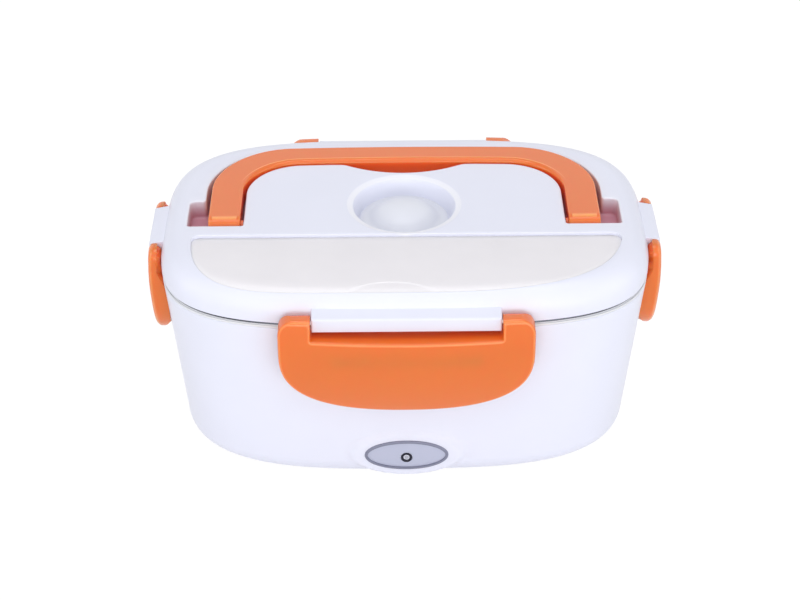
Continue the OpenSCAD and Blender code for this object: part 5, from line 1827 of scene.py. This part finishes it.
def mixed(tree, amount, first, second, out):
    """Mixes two shaders by an amount and joins them to an output"""
    mix = add_node(tree, "ShaderNodeMixShader")
    for socket, source in zip(mix.inputs, (amount, first.outputs[0], second.outputs[0])):
        wire(tree, source, socket)
    wire(tree, mix.outputs[0], out.inputs["Surface"])


def build_stage():
    scene = bpy.context.scene
    right, up, back = camera_axes()
    camera = bpy.data.cameras.new("Camera")
    camera.lens, camera.sensor_width, camera.sensor_fit = CAMERA_LENS, 36.0, "HORIZONTAL"
    camera.clip_start, camera.clip_end = 0.01, 30
    eye = placed("Camera", camera)
    turn = Matrix((right, up, back)).transposed().to_4x4()
    eye.matrix_world = Matrix.Translation(Vector(CAMERA_LOOK) + back * CAMERA_DISTANCE) @ turn
    scene.camera = eye

    # floor: mostly white as it is seen, with some of the lamps' light so that the shadow shows
    floor = bpy.data.meshes.new("floor")
    corners, reach = 96, 5
    rim = [(reach * math.cos(t), reach * math.sin(t), 0) for t in np.arange(corners) * TURN / corners]
    floor.from_pydata(rim, [], [tuple(range(corners))])
    ground = placed("floor", floor)
    made, tree = empty_material("pale_floor")
    plain = add_node(tree, "ShaderNodeBsdfDiffuse", Color=(0.86, 0.86, 0.87, 1))
    white = add_node(tree, "ShaderNodeEmission", Color=(1, 1, 1, 1), Strength=1.09)
    out = add_node(tree, "ShaderNodeOutputMaterial")
    mixed(tree, maths(tree, "MULTIPLY", seen_directly(tree), 0.86), plain, white, out)
    floor.materials.append(made)

    world = scene.world or bpy.data.worlds.new("World")
    scene.world = world
    world.use_nodes = True
    tree = world.node_tree
    tree.nodes.clear()
    lit = add_node(tree, "ShaderNodeBackground", Color=(0.97, 0.98, 1.0, 1), Strength=0.415)
    white = add_node(tree, "ShaderNodeBackground", Color=(1, 1, 1, 1), Strength=1.0)
    out = add_node(tree, "ShaderNodeOutputWorld")
    mixed(tree, seen_directly(tree), lit, white, out)

    for name, place, aim, width, depth, power in LAMPS:
        soft_lamp(name, place, (0, 0, aim), width, depth, power)
    scene.view_settings.view_transform = "Standard"


# ---------------------------------------------------------------- operators and panel

class LUNCHBOX_OT_case(bpy.types.Operator):
    """Make the outer case with its pads and snap ridges"""
    bl_idname = "lunchbox.case"
    bl_label = "Case"

    def execute(self, context):
        build_case()
        return {"FINISHED"}


class LUNCHBOX_OT_well(bpy.types.Operator):
    """Make the plastic well and its pillars"""
    bl_idname = "lunchbox.well"
    bl_label = "Well"

    def execute(self, context):
        build_well()
        return {"FINISHED"}


class LUNCHBOX_OT_container(bpy.types.Operator):
    """Make the steel food container"""
    bl_idname = "lunchbox.container"
    bl_label = "Steel container"

    def execute(self, context):
        build_container()
        return {"FINISHED"}


class LUNCHBOX_OT_heater(bpy.types.Operator):
    """Make the heating plate"""
    bl_idname = "lunchbox.heater"
    bl_label = "Heating plate"

    def execute(self, context):
        build_heater()
        return {"FINISHED"}


class LUNCHBOX_OT_base(bpy.types.Operator):
    """Make the base cover, its screws and the feet"""
    bl_idname = "lunchbox.base"
    bl_label = "Underside"

    def execute(self, context):
        build_base()
        return {"FINISHED"}


class LUNCHBOX_OT_badge(bpy.types.Operator):
    """Make the badge, the lamp's collar and its lens"""
    bl_idname = "lunchbox.badge"
    bl_label = "Badge and lamp"

    def execute(self, context):
        build_badge()
        return {"FINISHED"}


class LUNCHBOX_OT_inlet(bpy.types.Operator):
    """Make the power inlet and its prongs"""
    bl_idname = "lunchbox.inlet"
    bl_label = "Power inlet"

    def execute(self, context):
        build_inlet()
        return {"FINISHED"}


class LUNCHBOX_OT_lid(bpy.types.Operator):
    """Make the lid with its hollows and lugs"""
    bl_idname = "lunchbox.lid"
    bl_label = "Lid"

    def execute(self, context):
        build_lid()
        return {"FINISHED"}


class LUNCHBOX_OT_lining(bpy.types.Operator):
    """Make the lid's inner panel and its seal"""
    bl_idname = "lunchbox.lining"
    bl_label = "Lid lining"

    def execute(self, context):
        build_lid_lining()
        return {"FINISHED"}


class LUNCHBOX_OT_cover(bpy.types.Operator):
    """Make the frosted cutlery cover"""
    bl_idname = "lunchbox.cover"
    bl_label = "Cutlery cover"

    def execute(self, context):
        build_cover()
        return {"FINISHED"}


class LUNCHBOX_OT_plug(bpy.types.Operator):
    """Make the silicone steam plug"""
    bl_idname = "lunchbox.plug"
    bl_label = "Steam plug"

    def execute(self, context):
        build_plug()
        return {"FINISHED"}


class LUNCHBOX_OT_handle(bpy.types.Operator):
    """Make the folding handle"""
    bl_idname = "lunchbox.handle"
    bl_label = "Handle"

    def execute(self, context):
        build_handle()
        return {"FINISHED"}


class LUNCHBOX_OT_latches(bpy.types.Operator):
    """Make the four snap latches"""
    bl_idname = "lunchbox.latches"
    bl_label = "Latches"

    def execute(self, context):
        build_latches()
        return {"FINISHED"}


class LUNCHBOX_OT_frame_finishes(bpy.types.Operator):
    """Finish the pins, wires and heater that stay from the frame"""
    bl_idname = "lunchbox.frame_finishes"
    bl_label = "Hidden pieces"

    def execute(self, context):
        finish_frame()
        return {"FINISHED"}


class LUNCHBOX_OT_stage(bpy.types.Operator):
    """Make the floor, the lamps, the world and the camera"""
    bl_idname = "lunchbox.stage"
    bl_label = "Stage"

    def execute(self, context):
        build_stage()
        return {"FINISHED"}


STEPS = (LUNCHBOX_OT_case, LUNCHBOX_OT_well, LUNCHBOX_OT_container, LUNCHBOX_OT_heater, LUNCHBOX_OT_base,
         LUNCHBOX_OT_badge, LUNCHBOX_OT_inlet, LUNCHBOX_OT_lid, LUNCHBOX_OT_lining, LUNCHBOX_OT_cover,
         LUNCHBOX_OT_plug, LUNCHBOX_OT_handle, LUNCHBOX_OT_latches, LUNCHBOX_OT_frame_finishes,
         LUNCHBOX_OT_stage)


class LUNCHBOX_PT_panel(bpy.types.Panel):
    """Sizes, colours and building steps of the lunch box"""
    bl_label = "Lunch Box"
    bl_idname = "LUNCHBOX_PT_panel"
    bl_space_type = "VIEW_3D"
    bl_region_type = "UI"
    bl_category = "Lunch Box"

    def draw(self, context):
        for key, group in SETTINGS:
            box = self.layout.box()
            for prop in group.__annotations__:
                box.prop(getattr(context.scene, key), prop)
        for step in STEPS:
            self.layout.operator(step.bl_idname)


def register():
    for cls in [group for key, group in SETTINGS] + list(STEPS) + [LUNCHBOX_PT_panel]:
        bpy.utils.register_class(cls)
    for key, group in SETTINGS:
        setattr(bpy.types.Scene, key, PointerProperty(type=group))


def unregister():
    for key, group in SETTINGS:
        delattr(bpy.types.Scene, key)
    for cls in [LUNCHBOX_PT_panel] + list(STEPS)[::-1] + [group for key, group in SETTINGS]:
        bpy.utils.unregister_class(cls)


def main():
    register()
    for step in STEPS:
        getattr(bpy.ops.lunchbox, step.bl_idname.split(".")[1])()


if __name__ == "__main__":
    main()
